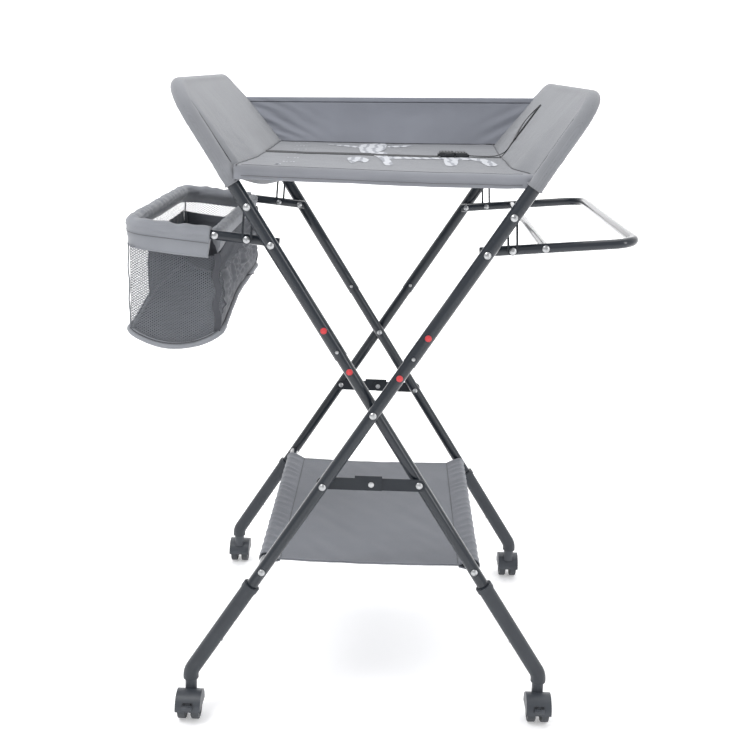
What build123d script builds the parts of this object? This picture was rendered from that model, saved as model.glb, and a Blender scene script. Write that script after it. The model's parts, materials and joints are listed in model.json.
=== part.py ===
from build123d import *
from math import asin, cos, hypot, radians, sin, tan
import os

# Folding baby changing table. Two U frames cross as an X and hinge on one line.
# Millimetres, +Z up, +X to the rack side, +Y to the back.
# The origin is on the floor under the X pivot.

# ---- X frames ----
pivot_height = 527.0
lean = 32.5                # leg angle from vertical, table open
frame_a_y = 266.0          # inner frame: upper left, lower right
frame_b_y = 294.0          # outer frame: upper right, lower left
upper_r = 10.5
upper_bore_r = 9.55
lower_r = 9.5
lower_bore_r = 8.5
joint_at = 97.0            # distances along a leg from the X pivot
socket_at = 122.0
arm_at = 300.0
link_at = 366.8
bed_bar_at = 422.6
top_at = 570.0
top_bend = 55.0
brace_at = 141.0
shelf_bar_at = 317.0
lower_end_at = 478.0
bar_r = 8.0
bar_bore_r = 7.0

# ---- fasteners ----
bolt_r = 3.0
fixed_hole_r = 3.05
turning_hole_r = 3.08
head_r = 5.4
head_h = 3.3
thin_bolt_r = 2.2

# ---- connectors and spring buttons ----
connector_r = 8.2
connector_bore_r = 7.0
button_low_at = 72.0
button_high_at = 148.0
button_r = 3.5
button_hole_r = 3.85

# ---- folding arms ----
arm_r = 7.5
arm_bore_r = 6.5
arm_inset = 25.5           # arm centre line inside the leg centre line
arm_rise = 5.3             # degrees above level
arm_stub = 9.5
arm_bend = 35.0
basket_reach = 222.0
rack_reach = 226.0
crossbar_at = 89.0
cross_r = 6.5
link_pin_at = 39.5
link_width = 16.5
link_slot = 10.0
link_thick = 1.5

# ---- folding braces ----
brace_thick = 1.6
brace_play = 0.4
brace_past = 17.0          # square end beyond the centre rivet

# ---- feet and casters ----
stem_x = 287.0
foot_r = 12.5
foot_bore_r = 9.8
foot_top_at = 348.0
foot_bore_end_at = 486.0
foot_bottom = 64.0
notch_pitch = 41.0
notch_mid_at = 417.0
wheel_r = 23.0
wheel_width = 13.0
wheel_x = 11.0
trail = 15.0
hood_r = 25.5
hood_width = 41.0

# ---- soft parts ----
sleeve_r = 13.5
tube_gap = 0.3
panel_from = 436.0
panel_thick = 5.0
bed_top = pivot_height + 371.0
bed_bottom = pivot_height + 355.0
strap_width = 25.0
strap_y = -18.0

# derived
lean_sin = sin(radians(lean))
lean_cos = cos(radians(lean))
lean_tan = tan(radians(lean))
brace_half = brace_at * lean_sin
brace_z = pivot_height - brace_at * lean_cos
bar_x = bed_bar_at * lean_sin
bar_z = pivot_height + bed_bar_at * lean_cos
shelf_x = shelf_bar_at * lean_sin
shelf_z = pivot_height - shelf_bar_at * lean_cos
elbow_z = pivot_height - stem_x / lean_tan
wheel_z = wheel_r

os.makedirs("parts", exist_ok=True)


def save(node, name):
    node.part.label = name
    export_step(node.part, "parts/" + name + ".step")


# A leg runs along (side * sin, cos) from the pivot: side is -1 for frame A and +1 for frame B.
# A negative distance is below the pivot.
def leg_x(side, along):
    return side * along * lean_sin


def leg_z(along):
    return pivot_height + along * lean_cos


def leg_plane(side, along, y):
    return Plane(
        origin=(leg_x(side, along), y, leg_z(along)),
        x_dir=(0, 1, 0),
        z_dir=(side * lean_sin, 0, lean_cos),
    )


# Local x is world Y and local y runs up the legs.
def frame_plane(side):
    return Plane(
        origin=(0, 0, pivot_height),
        x_dir=(0, 1, 0),
        z_dir=(lean_cos, 0, -side * lean_sin),
    )


# Local x is world Y and local y runs out along the arms from their hinge line.
def arm_plane(side):
    rise = radians(arm_rise)
    return Plane(
        origin=(leg_x(side, arm_at), 0, leg_z(arm_at)),
        x_dir=(0, 1, 0),
        z_dir=(sin(rise), 0, -side * cos(rise)),
    )


def arm_point(side, out):
    rise = radians(arm_rise)
    return (
        leg_x(side, arm_at) + side * out * cos(rise),
        leg_z(arm_at) + out * sin(rise),
    )


# Drilled along Y through everything at these (x, z) places.
def drill(points, radius):
    with Locations(*[(x, 0, z) for x, z in points]):
        Cylinder(radius, 700, rotation=(90, 0, 0), mode=Mode.SUBTRACT)


# Halfway point of a spherical cap: its radius out and its rise above the rim.
def cap_middle(rim_r, height):
    sphere_r = (rim_r**2 + height**2) / (2 * height)
    half_angle = asin(rim_r / sphere_r) / 2
    return sphere_r * sin(half_angle), height - sphere_r * (1 - cos(half_angle))


# A pin along local +Z with a domed head below and a domed nut above.
def domed_bolt(length, shank, head, height, nut, nut_height):
    head_x, head_rise = cap_middle(head, height - 0.8)
    nut_x, nut_rise = cap_middle(nut, nut_height - 0.6)
    with BuildPart() as bolt:
        with BuildSketch(Plane.XZ):
            with BuildLine():
                ThreePointArc((0, -height), (head_x, -0.8 - head_rise), (head, -0.8))
                Polyline((head, -0.8), (head, 0), (shank, 0), (shank, length))
                Polyline((shank, length), (nut, length), (nut, length + 0.6))
                ThreePointArc(
                    (nut, length + 0.6), (nut_x, length + 0.6 + nut_rise), (0, length + nut_height)
                )
                Line((0, length + nut_height), (0, -height))
            make_face()
        revolve(axis=Axis.Z)
    return bolt.part


# A screw along local +Z with a domed head and a plain end.
def domed_screw(length, shank, head, height):
    head_x, head_rise = cap_middle(head, height - 0.8)
    with BuildPart() as screw:
        with BuildSketch(Plane.XZ):
            with BuildLine():
                ThreePointArc((0, -height), (head_x, -0.8 - head_rise), (head, -0.8))
                Polyline((head, -0.8), (head, 0), (shank, 0), (shank, length), (0, length))
                Line((0, length), (0, -height))
            make_face()
        revolve(axis=Axis.Z)
    return screw.part


# Front fasteners point back and rear fasteners point forward, so each head is outside.
def facing(x, y_head, z, front):
    if front:
        return Location((x, -y_head, z), (-90, 0, 0))
    return Location((x, y_head, z), (90, 0, 0))


# ================= U frames =================
def upper_tube(side, y):
    plane = frame_plane(side)
    start = (-y, joint_at)
    with BuildPart() as tube:
        with BuildLine(plane) as path:
            FilletPolyline(start, (-y, top_at), (y, top_at), (y, joint_at), radius=top_bend)
        with BuildSketch(leg_plane(side, joint_at, -y)):
            Circle(upper_r)
            Circle(upper_bore_r, mode=Mode.SUBTRACT)
        sweep(path=path.line)
        cross = [arm_at, link_at, bed_bar_at, joint_at + 12]
        drill([(leg_x(side, along), leg_z(along)) for along in cross], fixed_hole_r)
        for end in (-1, 1):
            x = leg_x(side, button_high_at)
            z = leg_z(button_high_at)
            with Locations((x, end * (y + 10), z)):
                Cylinder(button_hole_r, 12, rotation=(90, 0, 0), mode=Mode.SUBTRACT)
    return tube


def lower_tube(side, y, outward, pivot_hole_r, brace_hole_r):
    with BuildPart() as tube:
        with BuildSketch(leg_plane(side, -lower_end_at, y)):
            Circle(lower_r)
            Circle(lower_bore_r, mode=Mode.SUBTRACT)
        extrude(amount=lower_end_at + socket_at)
        drill([(0, pivot_height)], pivot_hole_r)
        drill([(leg_x(side, -brace_at), brace_z)], brace_hole_r)
        drill([(leg_x(side, -shelf_bar_at), shelf_z)], fixed_hole_r)
        drill([(leg_x(side, joint_at + 12), leg_z(joint_at + 12))], fixed_hole_r)
        with Locations((leg_x(side, button_low_at), y + outward * 9, leg_z(button_low_at))):
            Cylinder(button_hole_r, 12, rotation=(90, 0, 0), mode=Mode.SUBTRACT)
        with BuildSketch(under_plane(side, y, notch_mid_at + notch_pitch)):
            Circle(2.8)
        extrude(amount=14, mode=Mode.SUBTRACT)
    return tube


# Local z points out of the underside of a lower leg, local x runs down the leg.
def under_plane(side, y, along):
    return Plane(
        origin=(leg_x(side, -along), y, leg_z(-along)),
        x_dir=(-side * lean_sin, 0, -lean_cos),
        z_dir=(side * lean_cos, 0, -lean_sin),
    )


upper_frame_a = upper_tube(-1, frame_a_y)
upper_frame_b = upper_tube(1, frame_b_y)
lower_leg_a_front = lower_tube(-1, -frame_a_y, -1, fixed_hole_r, fixed_hole_r)
lower_leg_a_rear = lower_tube(-1, frame_a_y, 1, fixed_hole_r, fixed_hole_r)
lower_leg_b_front = lower_tube(1, -frame_b_y, -1, turning_hole_r, fixed_hole_r)
lower_leg_b_rear = lower_tube(1, frame_b_y, 1, turning_hole_r, fixed_hole_r)


# Short tubes inside the leg joints carry the spring buttons.
def connectors(side, y):
    with BuildPart() as tubes:
        for end in (-1, 1):
            with BuildSketch(leg_plane(side, 60, end * y)):
                Circle(connector_r)
                Circle(connector_bore_r, mode=Mode.SUBTRACT)
            extrude(amount=100)
            for along in (button_low_at, button_high_at):
                with Locations((leg_x(side, along), end * (y + 9), leg_z(along))):
                    Cylinder(button_hole_r, 12, rotation=(90, 0, 0), mode=Mode.SUBTRACT)
        drill([(leg_x(side, joint_at + 12), leg_z(joint_at + 12))], fixed_hole_r)
    return tubes


connectors_a = connectors(-1, frame_a_y)
connectors_b = connectors(1, frame_b_y)


# Domed push button with a retaining collar inside the connector.
def push_button(reach):
    cap_x, cap_rise = cap_middle(button_r, 1.2)
    with BuildPart() as button:
        with BuildSketch(Plane.XZ):
            with BuildLine():
                Polyline((0, 4.0), (4.0, 4.0), (4.0, 5.0), (button_r, 5.0), (button_r, reach - 1.2))
                ThreePointArc((button_r, reach - 1.2), (cap_x, reach - 1.2 + cap_rise), (0, reach))
                Line((0, reach), (0, 4.0))
            make_face()
        revolve(axis=Axis.Z)
    return button.part


button_high = push_button(upper_r + 2.6)
button_low = push_button(lower_r + 2.6)


def buttons(side, y, outward):
    turn = 90 if outward < 0 else -90
    with BuildPart() as pair:
        x = leg_x(side, button_high_at)
        with Locations(Location((x, y, leg_z(button_high_at)), (turn, 0, 0))):
            add(button_high)
        x = leg_x(side, button_low_at)
        with Locations(Location((x, y, leg_z(button_low_at)), (turn, 0, 0))):
            add(button_low)
    return pair


buttons_a_front = buttons(-1, -frame_a_y, -1)
buttons_a_rear = buttons(-1, frame_a_y, 1)
buttons_b_front = buttons(1, -frame_b_y, -1)
buttons_b_rear = buttons(1, frame_b_y, 1)


# ================= cross bars between the legs =================
# A tube along Y with plugged ends, each drilled for its screw.
def cross_bar(x, z, half):
    with BuildPart() as bar:
        with Locations((x, 0, z)):
            Cylinder(bar_r, 2 * half, rotation=(90, 0, 0))
            Cylinder(bar_bore_r, 2 * half - 12, rotation=(90, 0, 0), mode=Mode.SUBTRACT)
            Cylinder(fixed_hole_r, 2 * half + 1, rotation=(90, 0, 0), mode=Mode.SUBTRACT)
    return bar


bed_bar_a = cross_bar(-bar_x, bar_z, frame_a_y - upper_r - 0.2)
bed_bar_b = cross_bar(bar_x, bar_z, frame_b_y - upper_r - 0.2)
shelf_bar_a = cross_bar(shelf_x, shelf_z, frame_a_y - lower_r - 0.2)
shelf_bar_b = cross_bar(-shelf_x, shelf_z, frame_b_y - lower_r - 0.2)


# ================= arms =================
def arm(side, leg_y, reach):
    y = leg_y - arm_inset
    plane = arm_plane(side)
    pin = arm_point(side, link_pin_at)
    cross = arm_point(side, crossbar_at)
    hinge = arm_point(side, 0)
    rise = radians(arm_rise)
    start_x = leg_x(side, arm_at) - side * arm_stub * cos(rise)
    start_z = leg_z(arm_at) - arm_stub * sin(rise)
    with BuildPart() as tube:
        with BuildLine(plane) as path:
            FilletPolyline((-y, -arm_stub), (-y, reach), (y, reach), (y, -arm_stub), radius=arm_bend)
        start = Plane(
            origin=(start_x, -y, start_z),
            x_dir=(0, 1, 0),
            z_dir=(side * cos(rise), 0, sin(rise)),
        )
        with BuildSketch(start):
            Circle(arm_r)
            Circle(arm_bore_r, mode=Mode.SUBTRACT)
        sweep(path=path.line)
        drill([hinge], turning_hole_r)
        drill([pin, cross], thin_bolt_r + 0.05)
    return tube


basket_arm = arm(-1, frame_a_y, basket_reach)
rack_arm = arm(1, frame_b_y, rack_reach)


def arm_cross(side, leg_y):
    x, z = arm_point(side, crossbar_at)
    half = leg_y - arm_inset - arm_r - 0.2
    with BuildPart() as bar:
        with Locations((x, 0, z)):
            Cylinder(cross_r, 2 * half, rotation=(90, 0, 0))
            Cylinder(cross_r - 1, 2 * half - 12, rotation=(90, 0, 0), mode=Mode.SUBTRACT)
            Cylinder(thin_bolt_r + 0.05, 2 * half + 1, rotation=(90, 0, 0), mode=Mode.SUBTRACT)
    return bar


basket_crossbar = arm_cross(-1, frame_a_y)
rack_crossbar = arm_cross(1, frame_b_y)


# Slotted stays hang from the legs and hold the arms level: one pair per arm.
def stays(side, leg_y):
    top_x = leg_x(side, link_at)
    top_z = leg_z(link_at)
    pin_x, pin_z = arm_point(side, link_pin_at)
    reach = hypot(pin_x - top_x, pin_z - top_z)
    slot_low = reach - (link_slot / 2 - thin_bolt_r - tube_gap)
    slot_high = 12.0
    low = slot_low + link_slot / 2 + 4 - link_width / 2
    face = leg_y - arm_inset + arm_r + 0.7
    way = ((pin_x - top_x) / reach, 0, (pin_z - top_z) / reach)
    with BuildPart() as pair:
        for y in (-face - link_thick, face):
            plate = Plane(origin=(top_x, y, top_z), x_dir=way, z_dir=(0, 1, 0))
            with BuildSketch(plate):
                with Locations((low / 2, 0)):
                    SlotCenterToCenter(low, link_width)
                Circle(turning_hole_r, mode=Mode.SUBTRACT)
                with Locations(((slot_low + slot_high) / 2, 0)):
                    SlotCenterToCenter(slot_low - slot_high, link_slot, mode=Mode.SUBTRACT)
            extrude(amount=link_thick)
    return pair


stays_left = stays(-1, frame_a_y)
stays_right = stays(1, frame_b_y)


# ================= folding braces =================
# Each brace is two pressed links in the gap between the frames, riveted at the centre.
# The link on frame B lies outside, ends square past the rivet and has a raised stop edge.
link_b_face = frame_b_y - lower_r - brace_play
link_a_face = link_b_face - brace_thick - brace_play


def brace_link(side, face, end, half_width, square_end):
    bolt_x = -side * brace_half
    high = face if end > 0 else brace_thick - face
    with BuildPart() as link:
        with BuildSketch(Plane(origin=(0, high, brace_z), x_dir=(1, 0, 0), z_dir=(0, -1, 0))):
            with Locations((bolt_x / 2, 0)):
                SlotCenterToCenter(brace_half, 2 * half_width)
            if square_end:
                with Locations((side * (brace_past - 12) / 2, 0)):
                    Rectangle(brace_past + 12, 2 * half_width)
                with Locations((-side * 4.5, half_width)):
                    Rectangle(43, 8)
            with Locations((bolt_x, 0)):
                Circle(turning_hole_r, mode=Mode.SUBTRACT)
        extrude(amount=brace_thick)
    return link


# The rivet's head and tail are formed on their own links, so each link keeps its half.
def riveted(link, y, depth):
    with BuildPart() as done:
        add(link.part)
        with Locations((0, y + depth / 2, brace_z)):
            Cylinder(4.6, abs(depth), rotation=(90, 0, 0))
    return done


front_left = brace_link(1, link_b_face, -1, 10.0, True)
front_right = brace_link(-1, link_a_face, -1, 10.0, False)
rear_left = brace_link(1, link_b_face, 1, 10.0, True)
rear_right = brace_link(-1, link_a_face, 1, 10.0, False)
brace_front_left = riveted(front_left, -link_b_face, -0.9)
brace_front_right = riveted(front_right, brace_thick - link_a_face, 1.5)
brace_rear_left = riveted(rear_left, link_b_face, 0.9)
brace_rear_right = riveted(rear_right, link_a_face - brace_thick, -1.5)


# ================= fasteners =================
pivot_bolt = domed_bolt(
    frame_b_y - frame_a_y + 2 * lower_r, bolt_r, head_r, head_h, head_r - 0.6, head_h
)
arm_bolt = domed_bolt(upper_r + arm_inset + arm_r, bolt_r, head_r, head_h, head_r - 0.6, 3.0)
stay_bolt = domed_bolt(
    upper_r + arm_inset - arm_r - 0.6, bolt_r, head_r, head_h, 4.0, 1.8
)
bar_screw = domed_screw(2 * upper_r + 14, bolt_r, head_r, head_h)
joint_rivet = domed_bolt(2 * upper_r, 1.6, 2.6, 1.2, 2.6, 1.2)
pin_bolt = domed_bolt(2 * arm_r + 2.5, thin_bolt_r, head_r, 2.8, head_r - 0.8, 2.8)
cross_screw = domed_screw(2 * arm_r + 14, thin_bolt_r, head_r, 3.0)


# Spacer sleeve along Y between two faces.
def spacer(x, z, y_low, y_high, radius, hole):
    with BuildPart() as ring:
        with Locations((x, (y_low + y_high) / 2, z)):
            Cylinder(radius, y_high - y_low, rotation=(90, 0, 0))
            Cylinder(hole, y_high - y_low + 1, rotation=(90, 0, 0), mode=Mode.SUBTRACT)
    return ring.part


def leg_fasteners(side, leg_y):
    with BuildPart() as group:
        for front in (True, False):
            x = leg_x(side, arm_at)
            with Locations(facing(x, leg_y + upper_r, leg_z(arm_at), front)):
                add(arm_bolt)
            x = leg_x(side, link_at)
            with Locations(facing(x, leg_y + upper_r, leg_z(link_at), front)):
                add(stay_bolt)
            with Locations(facing(side * bar_x, leg_y + upper_r, bar_z, front)):
                add(bar_screw)
            with Locations(facing(-side * shelf_x, leg_y + lower_r, shelf_z, front)):
                add(bar_screw)
            x = leg_x(side, joint_at + 12)
            with Locations(facing(x, leg_y + upper_r, leg_z(joint_at + 12), front)):
                add(joint_rivet)
    return group


def joint_spacers(side, leg_y):
    rings = []
    inner = leg_y - upper_r
    arm_face = leg_y - arm_inset + arm_r
    for end in (-1, 1):
        for along, near, ring_r in ((arm_at, arm_face + 0.3, 6.5), (link_at, arm_face + 2.5, 5.0)):
            low = min(end * near, end * (inner - 0.3))
            high = max(end * near, end * (inner - 0.3))
            rings.append(spacer(leg_x(side, along), leg_z(along), low, high, ring_r, 3.06))
    return rings


# The brace bolts pass through one leg and the link beside it.
brace_head_a = link_a_face + 0.3
brace_nut_b = link_b_face - brace_thick - 0.3
brace_bolt_a = domed_bolt(
    brace_head_a - frame_a_y + lower_r, bolt_r, head_r, head_h, head_r - 0.8, 2.4
)
brace_bolt_b = domed_bolt(
    frame_b_y + lower_r - brace_nut_b, bolt_r, head_r, head_h, head_r - 0.8, 2.4
)

leg_group_a = leg_fasteners(-1, frame_a_y)
leg_group_b = leg_fasteners(1, frame_b_y)

gap_low = frame_a_y + lower_r + 0.3
gap_high = frame_b_y - lower_r - 0.3
rings_a = joint_spacers(-1, frame_a_y)
rings_a.append(spacer(0, pivot_height, -gap_high, -gap_low, 7.5, 3.06))
rings_a.append(spacer(0, pivot_height, gap_low, gap_high, 7.5, 3.06))
ring_high = link_a_face - brace_thick - 0.3
rings_a.append(spacer(brace_half, brace_z, -ring_high, -gap_low, 4.5, 3.06))
rings_a.append(spacer(brace_half, brace_z, gap_low, ring_high, 4.5, 3.06))
rings_b = joint_spacers(1, frame_b_y)

with BuildPart() as fasteners_a:
    add(leg_group_a.part)
    for ring in rings_a:
        add(ring)
    for front in (True, False):
        with Locations(facing(0, frame_b_y + lower_r, pivot_height, front)):
            add(pivot_bolt)
        with Locations(facing(brace_half, brace_head_a, brace_z, front)):
            add(brace_bolt_a)

with BuildPart() as fasteners_b:
    add(leg_group_b.part)
    for ring in rings_b:
        add(ring)
    for front in (True, False):
        with Locations(facing(-brace_half, frame_b_y + lower_r, brace_z, front)):
            add(brace_bolt_b)

# Fasteners that travel with an arm: the stay pins and the crossbar screws.
def arm_fasteners(side, leg_y):
    y = leg_y - arm_inset + arm_r
    pin_x, pin_z = arm_point(side, link_pin_at)
    bar_end_x, bar_end_z = arm_point(side, crossbar_at)
    with BuildPart() as group:
        for front in (True, False):
            with Locations(facing(pin_x, y + 2.5, pin_z, front)):
                add(pin_bolt)
            with Locations(facing(bar_end_x, y, bar_end_z, front)):
                add(cross_screw)
    return group


arm_bolts_left = arm_fasteners(-1, frame_a_y)
arm_bolts_right = arm_fasteners(1, frame_b_y)


# ================= feet =================
# A plastic elbow slides on the lower leg; three notches on its underside set the height.
def foot(side, y):
    mouth = (leg_x(side, -foot_top_at), leg_z(-foot_top_at))
    stem = -side * stem_x
    with BuildPart() as elbow:
        with BuildLine(Plane.XZ.offset(-y)) as path:
            FilletPolyline(mouth, (stem, elbow_z), (stem, foot_bottom), radius=28)
        start = Plane(
            origin=(mouth[0], y, mouth[1]),
            x_dir=(0, 1, 0),
            z_dir=(-side * lean_sin, 0, -lean_cos),
        )
        with BuildSketch(start):
            Circle(foot_r)
        sweep(path=path.line)
        with BuildSketch(start):
            Circle(foot_r + 1.3)
        extrude(amount=9)
        with BuildSketch(start.offset(-1)):
            Circle(foot_bore_r)
        extrude(amount=foot_bore_end_at - foot_top_at + 1, mode=Mode.SUBTRACT)
        with BuildSketch(Plane.XY.offset(foot_bottom - 1)):
            with Locations((stem, y)):
                Circle(5.06)
        extrude(amount=22.5, mode=Mode.SUBTRACT)
        with BuildSketch(under_plane(side, y, notch_mid_at).offset(8.5)):
            SlotCenterToCenter(2 * notch_pitch, 5.6)
            with Locations((-notch_pitch, 0), (0, 0), (notch_pitch, 0)):
                Circle(4.3)
        extrude(amount=6, mode=Mode.SUBTRACT)
    return elbow


# Sprung pin that clicks into a notch.
def foot_pin(side, y):
    plane = under_plane(side, y, notch_mid_at + notch_pitch)
    with BuildPart() as pin:
        with BuildSketch(plane.offset(6.2)):
            Circle(3.4)
        extrude(amount=1.0)
        with BuildSketch(plane.offset(7.2)):
            Circle(2.5)
        extrude(amount=6.6)
        fillet(pin.faces().sort_by(Axis((0, 0, 0), tuple(plane.z_dir)))[-1].edges(), 1.0)
    return pin


foot_a_front = foot(-1, -frame_a_y)
foot_a_rear = foot(-1, frame_a_y)
foot_b_front = foot(1, -frame_b_y)
foot_b_rear = foot(1, frame_b_y)
foot_pin_a_front = foot_pin(-1, -frame_a_y)
foot_pin_a_rear = foot_pin(-1, frame_a_y)
foot_pin_b_front = foot_pin(1, -frame_b_y)
foot_pin_b_rear = foot_pin(1, frame_b_y)


# ================= casters =================
# Hooded twin-wheel caster. out is -1 at the front and +1 at the rear.
def caster_hood(x, y, out):
    axle_y = y + out * trail
    with BuildPart() as hood:
        with Locations((x, axle_y, wheel_z)):
            Cylinder(hood_r, hood_width, rotation=(0, 90, 0))
        with Locations((x, axle_y, wheel_z - 1 - hood_r)):
            Box(hood_width + 2, 2 * hood_r + 2, 2 * hood_r, mode=Mode.SUBTRACT)
        with Locations((x, y, 52)):
            Cylinder(9.5, 23.4)
        for end in (-1, 1):
            with Locations((x + end * wheel_x, axle_y, wheel_z)):
                Cylinder(23.8, wheel_width + 1, rotation=(0, 90, 0), mode=Mode.SUBTRACT)
        with Locations((x, axle_y, wheel_z)):
            Cylinder(10, 7.4, rotation=(0, 90, 0))
        with Locations((x, axle_y, wheel_z + 9)):
            Box(7.4, 16, 18)
        with Locations((x, axle_y, wheel_z)):
            Cylinder(3.06, hood_width - 4, rotation=(0, 90, 0), mode=Mode.SUBTRACT)
        with Locations((x, axle_y + out * 27, 33)):
            Box(17, 14, 8, mode=Mode.SUBTRACT)
        with Locations((x, y, 73)):
            Cylinder(5.0, 21)
    return hood


def caster_wheels(x, y, out):
    axle_y = y + out * trail
    with BuildPart() as wheels:
        for end in (-1, 1):
            with Locations((x + end * wheel_x, axle_y, wheel_z)):
                Cylinder(wheel_r, wheel_width, rotation=(0, 90, 0))
        fillet(wheels.edges().filter_by(GeomType.CIRCLE), 2.0)
        for end in (-1, 1):
            with Locations((x + end * (wheel_x + wheel_width / 2), axle_y, wheel_z)):
                Cylinder(16, 2.4, rotation=(0, 90, 0), mode=Mode.SUBTRACT)
            with Locations((x + end * wheel_x, axle_y, wheel_z)):
                Cylinder(3.05, wheel_width + 2, rotation=(0, 90, 0), mode=Mode.SUBTRACT)
        with Locations((x, axle_y, wheel_z)):
            Cylinder(3.0, 2 * wheel_x + wheel_width, rotation=(0, 90, 0))
    return wheels


def brake_pedal(x, y, out):
    axle_y = y + out * trail
    with BuildPart() as pedal:
        with Locations((x, axle_y + out * 27.5, 33)):
            Cylinder(2.5, 16, rotation=(0, 90, 0))
        with Locations((x, axle_y + out * 30.75, 33)):
            Box(16, 6.5, 5)
        tip = pedal.edges().filter_by(Axis.X).group_by(Axis.Y)[-1 if out > 0 else 0]
        fillet(tip, 1.2)
    return pedal


casters = {}
for name, side, y, out in (
    ("a_front", 1, -frame_a_y, -1),
    ("a_rear", 1, frame_a_y, 1),
    ("b_front", -1, -frame_b_y, -1),
    ("b_rear", -1, frame_b_y, 1),
):
    casters["caster_hood_" + name] = caster_hood(side * stem_x, y, out)
    casters["caster_wheels_" + name] = caster_wheels(side * stem_x, y, out)
    casters["brake_pedal_" + name] = brake_pedal(side * stem_x, y, out)


# ================= soft parts =================
# Padded bed slung between the bed bars, sewn round each bar.
with BuildPart() as bed:
    with BuildSketch(Plane.XY.offset(bed_bottom)):
        with Locations((3, 0)):
            RectangleRounded(422, 562, 14)
        with Locations((-214, 0)):
            Rectangle(24, 504)
    extrude(amount=bed_top - bed_bottom)
    for x, half in ((-bar_x, 252), (bar_x, 281)):
        with Locations((x, 0, bar_z)):
            Cylinder(11, 2 * half, rotation=(90, 0, 0))
    for x in (-bar_x, bar_x):
        with Locations((x, 0, bar_z)):
            Cylinder(bar_r + tube_gap, 600, rotation=(90, 0, 0), mode=Mode.SUBTRACT)
    # Quilting line round the flat part where a changing mat lies.
    with BuildSketch(Plane.XY.offset(bed_top)):
        with Locations((0, 121)):
            RectangleRounded(411, 238, 10)
            RectangleRounded(408, 235, 8.5, mode=Mode.SUBTRACT)
    extrude(amount=-0.6, mode=Mode.SUBTRACT)


# Fabric side panel sewn round the top of a U frame.
def side_panel(side, y):
    plane = frame_plane(side)
    with BuildPart() as panel:
        with BuildSketch(plane):
            with BuildLine():
                FilletPolyline(
                    (-y, panel_from), (-y, top_at), (y, top_at), (y, panel_from), radius=top_bend
                )
                Line((-y, panel_from), (y, panel_from))
            make_face()
        extrude(amount=panel_thick / 2, both=True)
        with BuildLine(plane) as path:
            FilletPolyline(
                (-y, panel_from), (-y, top_at), (y, top_at), (y, panel_from), radius=top_bend
            )
        with BuildSketch(leg_plane(side, panel_from, -y)):
            Circle(sleeve_r)
        sweep(path=path.line)
        with BuildLine(plane) as core:
            FilletPolyline(
                (-y, panel_from - 2), (-y, top_at), (y, top_at), (y, panel_from - 2), radius=top_bend
            )
        with BuildSketch(leg_plane(side, panel_from - 2, -y)):
            Circle(upper_r + tube_gap)
        sweep(path=core.line, mode=Mode.SUBTRACT)
    return panel


side_panel_left = side_panel(-1, frame_a_y)
side_panel_right = side_panel(1, frame_b_y)

# Back panel standing on the bed between the side panels.
back_low = 371.6
back_high = 455.0
back_edge = panel_thick / 2 / lean_cos + 0.7
with BuildPart() as back_panel:
    with BuildSketch(Plane.XZ.offset(-250)):
        with BuildLine():
            Polyline(
                (-back_low * lean_tan + back_edge, pivot_height + back_low),
                (back_low * lean_tan - back_edge, pivot_height + back_low),
                (back_high * lean_tan - back_edge, pivot_height + back_high),
                (-back_high * lean_tan + back_edge, pivot_height + back_high),
                close=True,
            )
        make_face()
    extrude(amount=4)

# Fabric shelf slung between the lower bars.
shelf_half = 247.0
with BuildPart() as shelf:
    with BuildSketch(Plane.XZ.offset(-shelf_half)):
        with BuildLine():
            ThreePointArc((-shelf_x, shelf_z + 1), (0, shelf_z - 12), (shelf_x, shelf_z + 1))
            Line((shelf_x, shelf_z + 1), (shelf_x, shelf_z - 2))
            ThreePointArc((shelf_x, shelf_z - 2), (0, shelf_z - 15), (-shelf_x, shelf_z - 2))
            Line((-shelf_x, shelf_z - 2), (-shelf_x, shelf_z + 1))
        make_face()
        with Locations((-shelf_x, shelf_z), (shelf_x, shelf_z)):
            Circle(10.8)
            Circle(bar_r + tube_gap, mode=Mode.SUBTRACT)
    extrude(amount=2 * shelf_half)

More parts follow.
